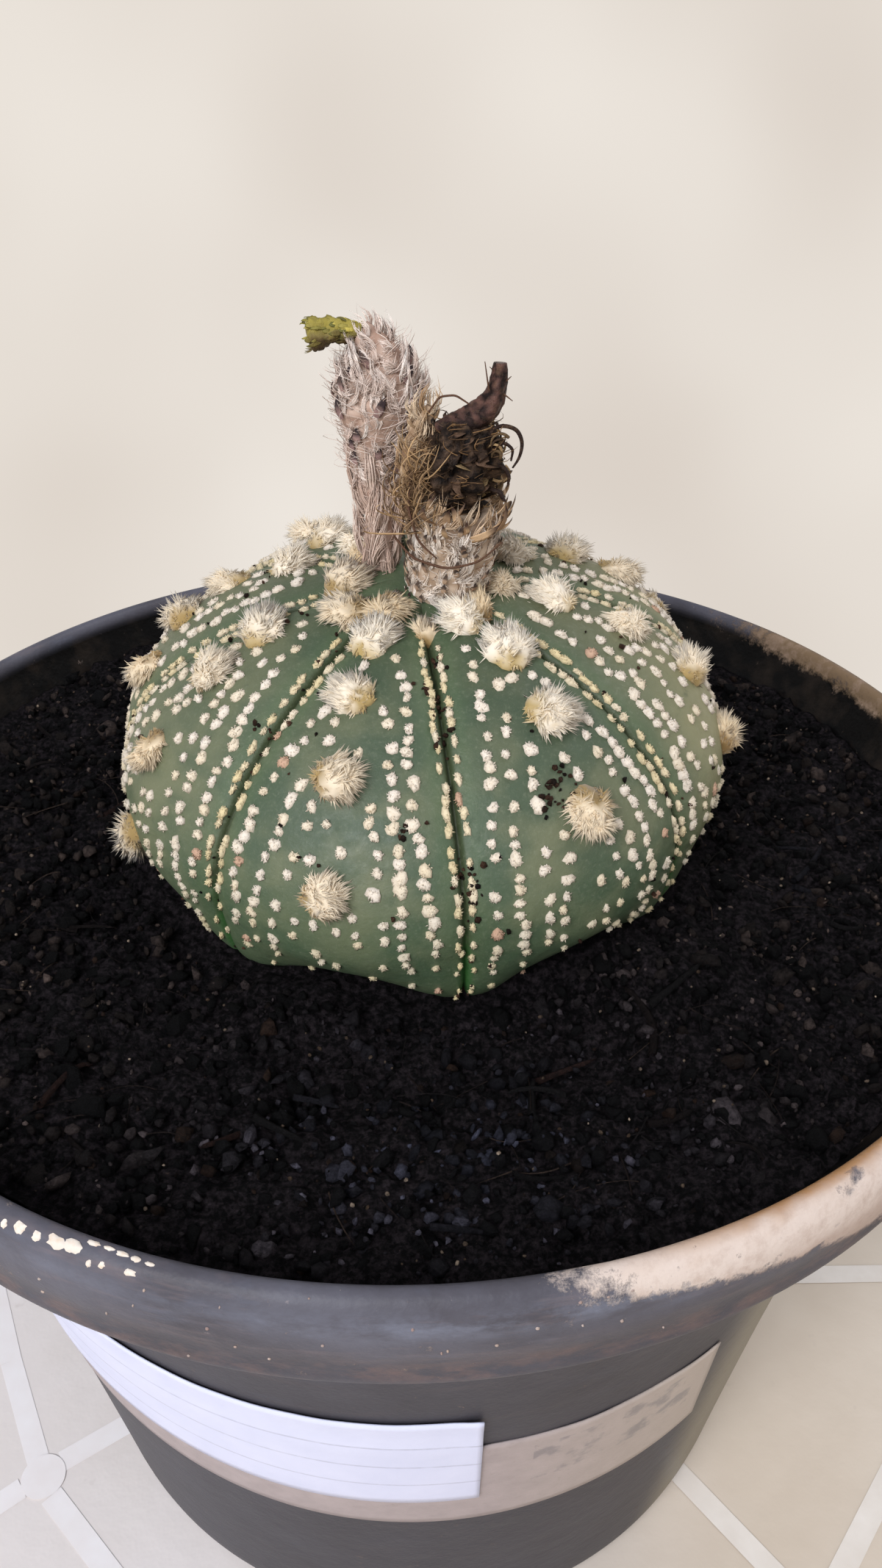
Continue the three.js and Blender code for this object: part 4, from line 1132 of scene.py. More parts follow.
def skin_frame(length, azimuth):
    """Point, outward normal, the direction down the rib and the one round the body."""
    here = skin(length, azimuth)
    down = unit(skin(length + 0.4, azimuth) - skin(length - 0.4, azimuth))
    around = unit(skin(length, azimuth + 0.5) - skin(length, azimuth - 0.5))
    return here, unit(np.cross(down, around)), down, around


print("skin from crown to widest ring", round(float(np.interp(pi / 2, table_angle, table_length)), 1), "mm")

# %% [markdown]
# ## Skin
# The skin is a grid from the crown to below the soil, with a root under it. An even grid would need
# far too many points to show furrows half a millimetre wide, so the points crowd together near the
# furrows, where the skin turns sharply. Slow noise takes away the last of the evenness.

# %% Skin
AROUND_RIB, RINGS_DOWN = 40, 120
CROWN_RINGS, SKIN_START, SKIN_END = [0.3, 0.8, 1.6, 2.6], 3.6, 66.0
EVEN, CROWDED = 0.32, 0.68
# Radius and height of the root's rings, from the middle of the body.
ROOT_RINGS = [(23, -18.8), (9, -23.5), (4, -31), (2, -38)]
step = (np.arange(AROUND_RIB) / AROUND_RIB) * 2 - 1
crowded = (RIB_ARC / 2) * (EVEN * step + CROWDED * step**3)
body_azimuth = np.concatenate([FIRST_FURROW + RIB_ARC * k + crowded for k in range(RIBS)])
body_length = np.concatenate([CROWN_RINGS, np.linspace(SKIN_START, SKIN_END, RINGS_DOWN)])
grid_length, grid_azimuth = np.meshgrid(body_length, body_azimuth, indexing="ij")
body_points = skin(grid_length.ravel(), grid_azimuth.ravel())
waves = noise_at(body_points, 9.0, 3, 2)
body_points = body_points + unit(body_points - BODY_CENTRE) * (0.22 * waves)[:, None]
root_turn = np.radians(body_azimuth)
root = [lean(flat_ring(radius, height, root_turn)) for radius, height in ROOT_RINGS]
body_points = np.concatenate([body_points, *root])
around = len(body_azimuth)
body_rings = len(body_length) + len(ROOT_RINGS)
body_faces = ring_faces(body_rings, around)[:, ::-1]
crown_face = np.arange(around)[None, :]
root_face = (np.arange(around)[::-1] + (body_rings - 1) * around)[None, :]
body_groups = [body_faces, crown_face, root_face]
body = mesh_piece("cactus_skin", body_points, body_groups, ["cactus_body"])
print("skin", len(body_points), "points")

# %% [markdown]
# ## Colours of the skin
# The green is deep near the crown, partly its own and partly painted shade, and more painted shade
# darkens the upper skin, most on the right. It is sunburnt and yellowish on the right, paler to the
# sides, fresher near the soil and dark in the furrows, but for their lower ends. A picture would need
# the skin laid out flat. Here each tint is a soft share of the skin by its own rule, laid over the ones
# before it.

# %% Colours of the skin
flat_length = np.concatenate([grid_length.ravel(), np.full(len(ROOT_RINGS) * around, SKIN_END + 4)])
flat_azimuth = np.concatenate([grid_azimuth.ravel(), np.tile(body_azimuth, len(ROOT_RINGS))])
ring_out = BODY_RADIUS * np.sin(angle_at(flat_length))
away = np.abs(np.radians(furrow_offset(flat_azimuth))) * ring_out
facing = (flat_azimuth + 180) % 360 - 180
patches = noise_at(body_points, 7.0, 12, 3)
fine = noise_at(body_points, 1.8, 15, 3)
rightward = smoothstep(body_points[:, 0], -8, 14)
sunburn = smoothstep(facing, 46, 80) * (1 - smoothstep(facing, 120, 150))
cleft = np.exp(-((away / 0.7) ** 2)) * smoothstep(ring_out, 3, 9)
cleft_colour = mix(linear(58, 66, 40), linear(50, 104, 44), smoothstep(flat_length + 6 * fine, 44, 56))
green = mix(linear(72, 86, 66), linear(106, 110, 84), smoothstep(patches + 0.35 * fine, -0.6, 0.7))
for tint, share in (
    (linear(78, 104, 74), 0.55 * smoothstep(flat_length, 34, 60)),
    (linear(128, 128, 98), 0.46 * smoothstep(np.abs(facing), 34, 90)),
    (linear(178, 168, 124), 0.4 * sunburn),
    # Deeper green near the crown: partly the skin's own, partly painted shade on the top.
    (linear(64, 76, 52), 0.55 * (1 - smoothstep(flat_length, 6, 20))),
    # Painted shade on the upper skin, strongest on the right.
    (linear(50, 64, 42), (0.35 + 0.35 * rightward) * (1 - smoothstep(flat_length, 16, 40))),
    (linear(66, 86, 62), 0.45 * np.exp(-((away / 3.4) ** 2))),
    (cleft_colour, 0.9 * cleft),
    (linear(84, 100, 70), 0.35 * np.exp(-(((away - 1.6) / 0.9) ** 2))),
):
    green = mix(green, tint, share)
paint(body, green)
print("darkest green", [round(float(v), 3) for v in green.min(0)])

# %% [markdown]
# ## Finish of the skin
# The skin is waxy and matt with fine pale dust, darker blotches and a few corky brown scars. A little
# light goes under it, as under the skin of any leaf, which softens the shadows of the flecks.

# %% Finish of the skin
peel = Material("cactus skin", 0.5, 0.4)
dust = peel.ramp(peel.noise(0.45, 5.0, 0.75), 0.52, 0.75, 0.0, 0.3)
skin_colour = peel.mixed(dust, peel.painted(), linear(138, 142, 120))
blotch = peel.ramp(peel.noise(2.4, 5.0, 0.65), 0.62, 0.75, 0.0, 0.45)
skin_colour = peel.mixed(blotch, skin_colour, linear(56, 70, 54))
scar = peel.ramp(peel.noise(4.2, 5.0, 0.7), 0.70, 0.745, 0.0, 0.7)
peel.colour(peel.mixed(scar, skin_colour, linear(132, 104, 84)))
peel.roughness(peel.ramp(peel.noise(1.2), 0.3, 0.7, 0.42, 0.65))
peel.bump((peel.noise(0.22, 4.0), 0.03), (peel.noise(1.5, 5.0), 0.12))
peel.shader.inputs["Subsurface Weight"].default_value = 0.06
peel.shader.inputs["Subsurface Radius"].default_value = (0.0012, 0.0018, 0.0008)
peel.shader.inputs["Subsurface Scale"].default_value = 1.0
peel.on(body)
print("skin finished")

# %% [markdown]
# ## One areole
# On the middle line of each rib sit areoles: tufts of wool with a tan foot and pale ends, the lower
# ones older, darker and drooping. Hair particles would be quicker but aren't kept in an export. So
# each is a lumpy mound with a coat of single hairs. The wool is combed to one side, where it is pale,
# and shows its tan foot on the other. Neighbouring hairs share a direction, as locks of wool do.

# %% One areole
COAT_HAIRS = 760


def wool_tuft(draw, length, azimuth, radius, age, combed):
    """A mound and its coat of hairs, each with colours. Combed is an angle from down the rib."""
    here, normal, down, side = skin_frame(np.array(length, float), np.array(azimuth, float))
    comb = cos(combed) * down + sin(combed) * side
    shape, faces = ball(3)
    tan = mix(linear(204, 178, 118), linear(150, 118, 72), age)
    pale = mix(linear(238, 228, 213), linear(222, 200, 166), age)

    def surface(ways):
        """Points of the mound, their outward directions and how pale they are."""
        lumps = 1 - 2.4 * np.abs(noise_at(ways * radius + here, 1.5, 5, 2))
        out = ways[:, :1] * down + ways[:, 1:2] * side + 0.85 * np.maximum(ways[:, 2:], -0.4) * normal
        spot = out * (radius * (0.78 + 0.14 * lumps))[:, None]
        pulled = (0.34 * comb + 0.42 * age * down) * radius * np.maximum(ways[:, 2:], 0)
        toward = out @ comb + 0.45 * ways[:, 2] + 0.25 * lumps
        paleness = smoothstep(toward, -1.0 + 0.6 * age, 0.6 * age)
        return here + spot + pulled, out, paleness * (0.72 + 0.28 * smoothstep(lumps, -0.5, 0.5))

    core, _, core_pale = surface(shape)
    core_colours = mix(tan * 0.8, pale, core_pale)
    ways = draw.normal(size=(COAT_HAIRS, 3))
    ways[:, 2] = np.abs(ways[:, 2]) - 0.15
    roots, out, hair_pale = surface(unit(ways))
    lock = np.stack([noise_at(roots, 1.3, seed, 1) for seed in (11, 12, 13)], 1)
    way = unit(0.7 * out + 0.75 * comb + 1.8 * lock + draw.normal(0, 0.16, (COAT_HAIRS, 3)))
    reach = radius * draw.uniform(0.16, 0.5, (COAT_HAIRS, 1)) * (0.7 + 0.65 * hair_pale[:, None])
    tips = roots + way * reach
    roots = roots - out * 0.2
    widths = draw.uniform(0.2, 0.36, COAT_HAIRS)
    points, hair_faces, along, per = hairs(roots, (roots + tips) / 2, tips, widths, steps=1)
    shade = np.clip(hair_pale + draw.uniform(-0.15, 0.25, COAT_HAIRS), 0, 1)
    tint = mix(tan * 0.9, pale, np.clip(np.repeat(shade, per) + 0.25 * along - 0.1, 0, 1))
    return (core, [faces], core_colours), (points, [hair_faces[1]], tint)


print("hairs in a tuft", COAT_HAIRS)

# %% [markdown]
# ## Areoles
# Their places follow the photograph rib by rib on the side that it shows, and go on in the same way
# behind. Smaller young tufts stand close together round the blooms' feet. An areole moves down the
# rib as the plant grows, so its distance from the crown also says how old and brown it is.

# %% Areoles
# Distance from the crown along the skin, and azimuth.
TUFTS = [
    (9.5, 33), (16, 38), (24.6, 34), (35.6, 31.5),
    (16.5, 84), (25.5, 84), (35.2, 82.5), (44.4, 78.5),
    (14.5, 125), (23, 123), (30, 117), (41, 119),
    (15, 164), (23.5, 164), (33.5, 164), (45, 164),
    (13.2, -149), (20.5, -145), (29, -151), (40.5, -151),
    (18.5, -121), (26, -114), (32, -105), (36.5, -93.5),
    (18.8, -73), (26, -68.5), (36.6, -64.5), (49, -65),
    (12, -24.5), (19.8, -20.5), (29.2, -18.5), (41.6, -17),
]
# Young wool round the blooms' feet: distance from the crown, azimuth and radius.
CROWN_WOOL = [
    (8.2, -92, 2.6), (8.2, 52, 2.5), (6.3, -30, 2.4), (9.0, -55, 2.3), (9.4, 6, 1.7), (9.5, 88, 2.1),
    (8.5, 120, 1.9), (9.0, -140, 1.9),
]
# The ways in which the tufts are combed, in turn, as angles from down the rib.
COMBED = [-2.4, 2.6, 0.9, -0.6, 3.0, -1.8, 1.7, 2.2, -2.9, 0.4, -1.2, 1.2]
WOOL = np.random.default_rng(31)
tufts = []
for k, (length, azimuth) in enumerate(TUFTS):
    age = min(1.0, length / 42) ** 1.4 * WOOL.uniform(0.5, 1.0)
    radius = WOOL.uniform(2.75, 3.15) * (1 - 0.18 * age)
    tufts.append(wool_tuft(WOOL, length, azimuth, radius, age, COMBED[k % len(COMBED)]))
for k, (length, azimuth, radius) in enumerate(CROWN_WOOL):
    age = WOOL.uniform(0.6, 1.0)
    tufts.append(wool_tuft(WOOL, length, azimuth, radius * 1.15, age, COMBED[k]))
mounds = painted_piece("areole_mounds", [core for core, _ in tufts])
areoles = painted_piece("areole_hairs", [coat for _, coat in tufts])

wool = Material("areole wool", 0.85, 0.2)
wool.colour(wool.painted())
wool.shader.inputs["Sheen Weight"].default_value = 0.2
wool.on(areoles, mounds)
print("areoles", len(TUFTS), "and young tufts", len(CROWN_WOOL))

# %% [markdown]
# ## Places of the flecks
# Rows of white woolly flecks run beside every furrow, and neighbours often grow together into bars.
# The rows nearest a furrow are the densest, and the flecks near the soil are fewer and smaller. They
# could be spread by chance, but their rows are what makes the plant look grown, so each row is walked
# from the crown down with a random pace.

# %% Places of the flecks
# Each row: distance from the furrow, share of flecks that it keeps, and size.
FLECK_ROWS = [
    (0.85, 0.97, 0.5), (3.5, 0.98, 0.86), (6.1, 0.97, 0.84),
    (8.7, 0.9, 0.8), (11.2, 0.8, 0.76), (13.6, 0.6, 0.72),
]
FIRST_FLECK, LAST_FLECK = 8.5, 63
# No fleck's middle lies nearer than this to an areole's.
TUFT_CLEARANCE = 3.3
tuft_middles = skin(*np.array(TUFTS, float).T)


def fleck_row(draw, row, furrow, side):
    """Length, azimuth, half length and half width of each fleck of one row."""
    offset, keep, size = FLECK_ROWS[row]
    outer_row = row > 0
    found = []
    length = FIRST_FLECK + 2.2 * row + draw.uniform(0, 2)
    sway = draw.uniform(0, 6)
    while length < LAST_FLECK:
        out = BODY_RADIUS * np.sin(angle_at(length))
        thin = 1 - 0.6 * smoothstep(length, 42, 60)
        together = draw.random() < (0.62 if row < 3 else 0.35)
        length += draw.uniform(1.25, 1.55) if together else draw.uniform(1.75, 2.5) / thin
        across = offset + draw.normal(0, 0.12 + 0.12 * outer_row) + 0.5 * sin(length / 7 + sway) * outer_row
        if across > pi * out / RIBS - 0.5 or draw.random() > keep * thin:
            continue
        azimuth = furrow + side * degrees(across / out)
        point = skin(np.array(length), np.array(azimuth))
        if np.linalg.norm(tuft_middles - point, axis=1).min() < TUFT_CLEARANCE:
            continue
        grow = size * draw.uniform(0.72, 1.16) * (1 - 0.5 * smoothstep(length, 42, 60))
        grow *= 1 - 0.25 * (1 - smoothstep(length, 8, 20))
        stretch = draw.uniform(0.8, 1.1) if outer_row else draw.uniform(1.3, 1.9)
        found.append((length, azimuth, grow * stretch * 0.95, grow * draw.uniform(0.72, 0.92)))
    return found


FLECK = np.random.default_rng(47)
sites = []
for k in range(RIBS):
    for side in (-1, 1):
        for row in range(len(FLECK_ROWS)):
            sites += fleck_row(FLECK, row, FIRST_FURROW + RIB_ARC * k, side)
sites = np.array(sites)
flecks = len(sites)
print("flecks", flecks)

# %% [markdown]
# ## Pads of the flecks
# A fleck is a felted pad, 1 to 2 mm across, with ragged lobes. It is white or cream, yellower beside
# the furrow and near the soil, and a few are pinkish. Every pad has three rings of points and a
# middle, darker at its edge, so that it stands out from the skin without any drawn line.

# %% Pads of the flecks
PAD_SIDES = 8
# Share of the pad's size, height over the skin and brightness of each ring.
PAD_RINGS = [(1.0, -0.15, 0.55), (0.92, 0.14, 0.8), (0.56, 0.3, 0.95)]
PAD_TOP = 0.34
here, normal, down, around_way = skin_frame(sites[:, 0], sites[:, 1])
half_long, half_wide = sites[:, 2], sites[:, 3]
age = smoothstep(sites[:, 0], 38, 62)
pale = mix(linear(234, 222, 208), linear(176, 166, 116), age * FLECK.uniform(0.4, 1, flecks))
pale = mix(pale, linear(222, 204, 166), FLECK.random(flecks) ** 2 * 0.6)
from_furrow = np.abs(np.radians(furrow_offset(sites[:, 1]))) * BODY_RADIUS * np.sin(angle_at(sites[:, 0]))
beside = from_furrow < 2.2
pale[beside] = mix(pale[beside], linear(222, 204, 160), FLECK.uniform(0.3, 1, beside.sum()))
pale[FLECK.random(flecks) < 0.1 * (0.1 + age)] = linear(200, 164, 140)
pad = []
lobe_turn = FLECK.uniform(0, 2 * pi, (3, flecks))
for ring, (share, rise, _) in enumerate(PAD_RINGS):
    for angle in 2 * pi * np.arange(PAD_SIDES) / PAD_SIDES:
        lobes = 0.16 * np.cos(2 * angle + lobe_turn[0]) + 0.13 * np.cos(3 * angle + lobe_turn[1])
        ragged = share * (1 + lobes) + 0.07 * FLECK.normal(size=flecks)
        lengthwise = (cos(angle) * half_long * ragged)[:, None] * down
        crosswise = (sin(angle) * half_wide * ragged)[:, None] * around_way
        uneven = rise + (ring > 1) * 0.06 * FLECK.normal(size=flecks)
        pad.append(here + (lengthwise + crosswise) + normal * uneven[:, None])
pad.append(here + normal * PAD_TOP)
pad_points = np.stack(pad, 1)
per_pad = pad_points.shape[1]
pad_shade = np.tile(np.repeat([ring[2] for ring in PAD_RINGS], PAD_SIDES).tolist() + [1.0], flecks)
pad_faces = pointed_faces(flecks, len(PAD_RINGS), PAD_SIDES)
pads = mesh_piece("fleck_pads", pad_points.reshape(-1, 3), pad_faces)
paint(pads, np.repeat(pale, per_pad, 0) * pad_shade[:, None])
print("pads", flecks, "with", per_pad, "points each")

# %% [markdown]
# ## Fringe of the flecks
# A short fringe stands up and out of every pad. A bump alone would leave its edge smooth, so the
# fringe is real hairs in their fleck's colour, set closer towards the edge.

# %% Fringe of the flecks
HAIRS_EACH = 27
owner = np.repeat(np.arange(flecks), HAIRS_EACH)
angle = FLECK.uniform(0, 2 * pi, len(owner))
radius = FLECK.random(len(owner)) ** 0.4
flat = (np.cos(angle) * half_long[owner])[:, None] * down[owner]
flat = flat + (np.sin(angle) * half_wide[owner])[:, None] * around_way[owner]
roots = here[owner] + flat * (0.9 * radius)[:, None] + normal[owner] * (0.32 - 0.25 * radius**4)[:, None]
way = unit(normal[owner] * 0.45 + unit(flat) * radius[:, None] + FLECK.normal(0, 0.5, (len(owner), 3)))
tips = roots + way * FLECK.uniform(0.1, 0.34, len(owner))[:, None]
widths = FLECK.uniform(0.14, 0.26, len(owner))
points, faces, _, per = hairs(roots, (roots + tips) / 2, tips, widths, steps=1)
fringe = mesh_piece("fleck_hairs", points, [faces[1]])
paint(fringe, np.repeat(pale[owner] * FLECK.uniform(0.85, 1.05, (len(owner), 1)), per, 0))
felt = Material("fleck wool", 0.85, 0.2)
felt_shade = felt.ramp(felt.noise(0.35, 3.0), 0.45, 0.75, 0.0, 0.35)
felt.colour(felt.mixed(felt_shade, felt.painted(), linear(186, 162, 126)))
felt.bump((felt.noise(0.16, 3.0), 0.08))
felt.on(pads, fringe)
print("fringe of", len(owner), "hairs")

# %% [markdown]
# ## Crumbs on the skin
# Dark crumbs of soil cling in the furrows, beside the flecks and in clumps under a few areoles. The
# clumps that the photograph shows are placed by hand, the rest by chance, and the skin's own function
# sets them all on it.

# %% Crumbs on the skin
# Clumps: distance from the crown, azimuth, number of crumbs and spread in millimetres.
CLUMPS = [
    (18.6, 3.5, 9, 0.6), (20.6, 5.6, 8, 0.5), (32.4, 25.2, 12, 0.7), (34.8, 27.6, 22, 1.3),
    (31.2, 28.6, 8, 0.6), (38.6, 7.0, 12, 0.8), (34.0, -3.0, 9, 0.7), (27.0, -41.5, 6, 0.6),
    (41.8, 8.0, 9, 0.7), (24.0, 6.4, 7, 0.5),
]
SCATTERED, IN_FURROWS = 230, 0.45
SPLASH = np.random.default_rng(52)
crumb_length = SPLASH.uniform(12, 63, SCATTERED)
crumb_rib = SPLASH.integers(RIBS, size=SCATTERED)
in_furrow = SPLASH.random(SCATTERED) < IN_FURROWS
near, far = SPLASH.normal(0, 0.5, SCATTERED), SPLASH.uniform(-14, 14, SCATTERED)
crumb_out = BODY_RADIUS * np.sin(angle_at(crumb_length))
crumb_turn = np.degrees(np.where(in_furrow, near, far) / crumb_out)
crumb_azimuth = FIRST_FURROW + RIB_ARC * crumb_rib + crumb_turn
for length, azimuth, number, reach in CLUMPS:
    clump_out = BODY_RADIUS * sin(angle_at(length))
    crumb_length = np.append(crumb_length, length + SPLASH.normal(0, reach, number))
    turned = np.degrees(SPLASH.normal(0, reach, number) / clump_out)
    crumb_azimuth = np.append(crumb_azimuth, azimuth + turned)
count = len(crumb_length)
here, normal, _, _ = skin_frame(crumb_length, crumb_azimuth)
crumb_size = 0.5 * SPLASH.uniform(0.3, 0.95, (count, 1)) * SPLASH.uniform(0.5, 1.0, (count, 3))
crumb_colour = mix(linear(34, 25, 21), linear(112, 80, 62), SPLASH.random(count) ** 1.5)
blocks = turned_blocks(SPLASH, here + normal * 0.12, crumb_size, 1, 0.2, crumb_colour)
splashes = painted_piece("skin_crumbs", [blocks])
bark.on(splashes)
print("crumbs on the skin", count)

# %% [markdown]
# ## Helper for tubes
# Two dried flowers stand at the crown, each grown as a tube. A tube here is a line of centres with a
# radius at each, made smooth, and a frame of directions that follows it. A curve with a bevel would
# give the same body, but this one also answers where a point of its surface is and which way is out
# there, so wool and scales can be set on it.

# %% Helper for tubes
class Tube:
    """A line of centres with radii, made smooth, and a frame of directions along it."""

    def __init__(self, stations, count=40, calm=3):
        given = np.array(stations, float)
        run = np.concatenate([[0], np.cumsum(np.linalg.norm(np.diff(given[:, :3], axis=0), axis=1))])
        even = np.linspace(0, run[-1], count)
        line = np.stack([np.interp(even, run, given[:, i]) for i in range(4)], 1)
        for _ in range(calm):
            line[1:-1] = (line[:-2] + 2 * line[1:-1] + line[2:]) / 4
        self.centre = line[:, :3] + [0, 0, POT_HEIGHT]
        self.radius = line[:, 3]
        self.ahead = unit(np.gradient(self.centre, axis=0))
        self.side = unit(np.cross(self.ahead, [[0.02, 1, 0.01]]))
        self.other = np.cross(self.ahead, self.side)

    def at(self, share, turn, lift=0.0):
        """Points on the surface, with their outward and forward directions."""
        place = np.asarray(share) * (len(self.centre) - 1)

        def pick(table):
            low = np.clip(place.astype(int), 0, len(table) - 2)
            part = (place - low)
            part = part[..., None] if table.ndim > 1 else part
            return table[low] * (1 - part) + table[low + 1] * part

        out = unit(np.cos(turn)[..., None] * pick(self.side) + np.sin(turn)[..., None] * pick(self.other))
        return pick(self.centre) + out * (pick(self.radius) + lift)[..., None], out, unit(pick(self.ahead))

    def solid(self, sides, lumps=0.0, size=2.0, seed=1, ridges=0.0, ridge_count=5):
        """The closed tube as points and faces, roughened by noise and ridged lengthwise."""
        turn = 2 * pi * np.arange(sides) / sides
        share = np.linspace(0, 1, len(self.centre))
        grid_share, grid_turn = np.meshgrid(share, turn, indexing="ij")
        ridge = ridges * np.cos(ridge_count * grid_turn + 2.0 * grid_share)
        points, out, _ = self.at(grid_share.ravel(), grid_turn.ravel())
        rough = noise_at(points, size, seed, 3) * lumps + ridge.ravel() * np.repeat(self.radius, sides)
        points = points + out * rough[:, None]
        count = len(points)
        faces = ring_faces(len(self.centre), sides)
        points = np.concatenate([points, self.centre[:1], self.centre[-1:]])
        i = np.arange(sides)
        last = (len(self.centre) - 1) * sides
        caps = np.concatenate([
            np.stack([(i + 1) % sides, i, i * 0 + count], 1),
            np.stack([last + i, last + (i + 1) % sides, i * 0 + count + 1], 1),
        ])
        return points, [faces, caps]


print("tube ready")

# %% [markdown]
# ## Helper for scales and petals
# Scales, sepals and petals are all the same thing: a blade that is widest before its middle, a little
# cupped and darker at its tip. A flat sheet would vanish when seen edge on and couldn't be printed,
# so each blade is a thin closed body. All the blades of a kind are worked out at once.

# %% Helper for scales and petals
BLADE_STEPS, BLADE_SIDES = 7, 6


def flat_blades(roots, middles, tips, widths, thickness, facing, colours, dark, dark_from=0.6):
    """Flattened closed blades, bent through their middles, with a darker tip."""
    count, steps, sides = len(roots), BLADE_STEPS, BLADE_SIDES
    share = np.arange(steps) / steps
    a, b, c = (1 - share) ** 2, 2 * share * (1 - share), share**2
    weighed = [roots[:, None] * a[:, None], middles[:, None] * b[:, None], tips[:, None] * c[:, None]]
    centre = weighed[0] + weighed[1] + weighed[2]
    ahead = unit(np.gradient(centre, axis=1))
    across = unit(np.cross(ahead, facing[:, None] + 0 * ahead))
    up = np.cross(across, ahead)
    profile = np.sin(pi * (0.22 + 0.78 * share)) ** 0.8
    half = ((widths / 2)[:, None] * profile[None])[..., None]
    thin = (thickness / 2) * (1 - 0.6 * share)[None, :, None]
    cup = 0.25 * half
    turn = 2 * pi * np.arange(sides) / sides
    sections = [
        centre + np.cos(t) * half * across + (np.sin(t) * thin + np.cos(t) ** 2 * cup) * up for t in turn
    ]
    points = np.concatenate([np.stack(sections, 2).reshape(count, -1, 3), tips[:, None]], 1)
    along = np.tile(np.concatenate([np.repeat(share, sides), [1.0]]), count)
    darkness = smoothstep(along, dark_from - 0.12, dark_from + 0.12)
    shades = mix(np.repeat(colours, steps * sides + 1, 0), dark, darkness)
    return points.reshape(-1, 3), pointed_faces(count, steps, sides), shades


def pick_colours(draw, count, a, b, spread=0.08):
    """Random colours between two, each a little lighter or darker."""
    shade = mix(a, b, draw.random(count))
    return shade * draw.uniform(1 - spread, 1 + spread, (count, 1))


print("blade of", BLADE_STEPS * BLADE_SIDES + 1, "points")

# %% [markdown]
# ## Helpers for the blooms' wool
# The wool of a bloom grows from under its scales. Some of it stands as single strands, but most are
# locks: a bundle of strands that swings out to one side and comes back at its tip. Two locks in one
# place close like an eye round the dark scale. The places run in a spiral, as scales do on a stem.

# %% Helpers for the blooms' wool
def strands(draw, roots, middles, tips, width, colours, steps=5):
    """Hairs that grow paler towards their tips."""
    points, faces, along, per = hairs(roots, middles, tips, width, steps=steps, blunt=0.5)
    return points, faces, np.repeat(colours, per, 0) * (0.85 + 0.18 * along)[:, None]


def wool_on(draw, tube, count, low, high, length, width, lie, colours, curl=0.6, lift=-0.1):
    """Strands on a tube: lie is how much of their way is forward, the rest outward and sideways."""
    share, turn = draw.uniform(low, high, count), draw.uniform(0, 2 * pi, count)
    roots, out, ahead = tube.at(share, turn, lift)
    side = np.cross(out, ahead)
    way = ahead * lie + out * draw.uniform(0.1, 0.6, (count, 1)) + side * draw.normal(0, 0.6, (count, 1))
    reach = length * draw.uniform(0.55, 1.15, (count, 1))
    tips = roots + unit(way) * reach
    sway = side * draw.normal(0, curl, (count, 1)) + out * draw.uniform(0.1, 0.6, (count, 1))
    middles = (roots + tips) / 2 + sway * reach * 0.5
    return strands(draw, roots, middles, tips, width * draw.uniform(0.6, 1.3, count), colours)


def spiral(draw, count, low, high):
    """Places in a spiral up a tube, as its scales grow."""
    share = low + (high - low) * (np.arange(count) + draw.random(count)) / count
    return share, np.arange(count) * 2.4 + draw.normal(0, 0.3, count)


def locks_on(draw, tube, places, each, length, width, curl, spread, colours, stray=0.25):
    """Two locks of wool at every place, which swing apart and close again at the tip."""
    share, turn = np.repeat(places[0], 2), np.repeat(places[1], 2)
    count = len(share)
    roots, out, ahead = tube.at(share, turn, -0.15)
    side = np.cross(out, ahead)
    hand = np.tile([-1.0, 1.0], count // 2)[:, None]
    reach = length * draw.uniform(0.7, 1.2, (count, 1))
    lean_out = np.repeat(draw.normal(0, stray, (count // 2, 1)), 2, 0)
    tips = roots + unit(ahead + out * draw.uniform(-0.05, 0.25, (count, 1)) + side * lean_out) * reach
    swing = side * hand * curl * draw.uniform(0.4, 1.2, (count, 1)) + out * 0.28
    middles = (roots + tips) / 2 + swing * reach
    owner = np.repeat(np.arange(count), each)
    many = len(owner)
    fan = draw.normal(0, 1, (many, 1)) * side[owner] + 0.5 * draw.normal(0, 1, (many, 1)) * out[owner]
    starts = roots[owner] + 0.6 * spread * fan
    bends = middles[owner] + spread * fan + draw.normal(0, 0.1, (many, 3))
    ends = tips[owner] + 0.35 * spread * fan + ahead[owner] * draw.normal(0, 0.25, (many, 1)) * reach[owner]
    tints = pick_colours(draw, count, *colours)[owner] * draw.uniform(0.86, 1.06, (many, 1))
    return strands(draw, starts, bends, ends, width * draw.uniform(0.6, 1.3, many), tints, 3)


def scales_on(draw, tube, places, length, width, colours, dark, rise=0.4, dark_from=0.45, lift=0.3):
    """Scales at given places, that stand a little above the wool and end in a dark point."""
    count = len(places[0])
    roots, out, ahead = tube.at(places[0], places[1], lift)
    reach = length * draw.uniform(0.7, 1.2, (count, 1))
    side = np.cross(out, ahead)
    tips = roots + unit(ahead * 0.9 + out * rise + side * draw.normal(0, 0.2, (count, 1))) * reach
    middles = (roots + tips) / 2 + out * 0.22 * reach
    tints = pick_colours(draw, count, *colours)
    widths = width * draw.uniform(0.8, 1.2, count)
    return flat_blades(roots, middles, tips, widths, 0.25, out, tints, dark, dark_from)


print("bloom helpers ready")

# %% [markdown]
# ## Left bloom
# The left bloom is the older one. It opens like a funnel, and its wool is matted and pinkish beige.
# Near the top the dark scales show between curls of it. A lumpy core keeps it closed, and the wool is
# laid on in layers: long locks at the foot, short curly ones higher up, fuzz, long stray hairs, a halo
# of fine hair and the scales.

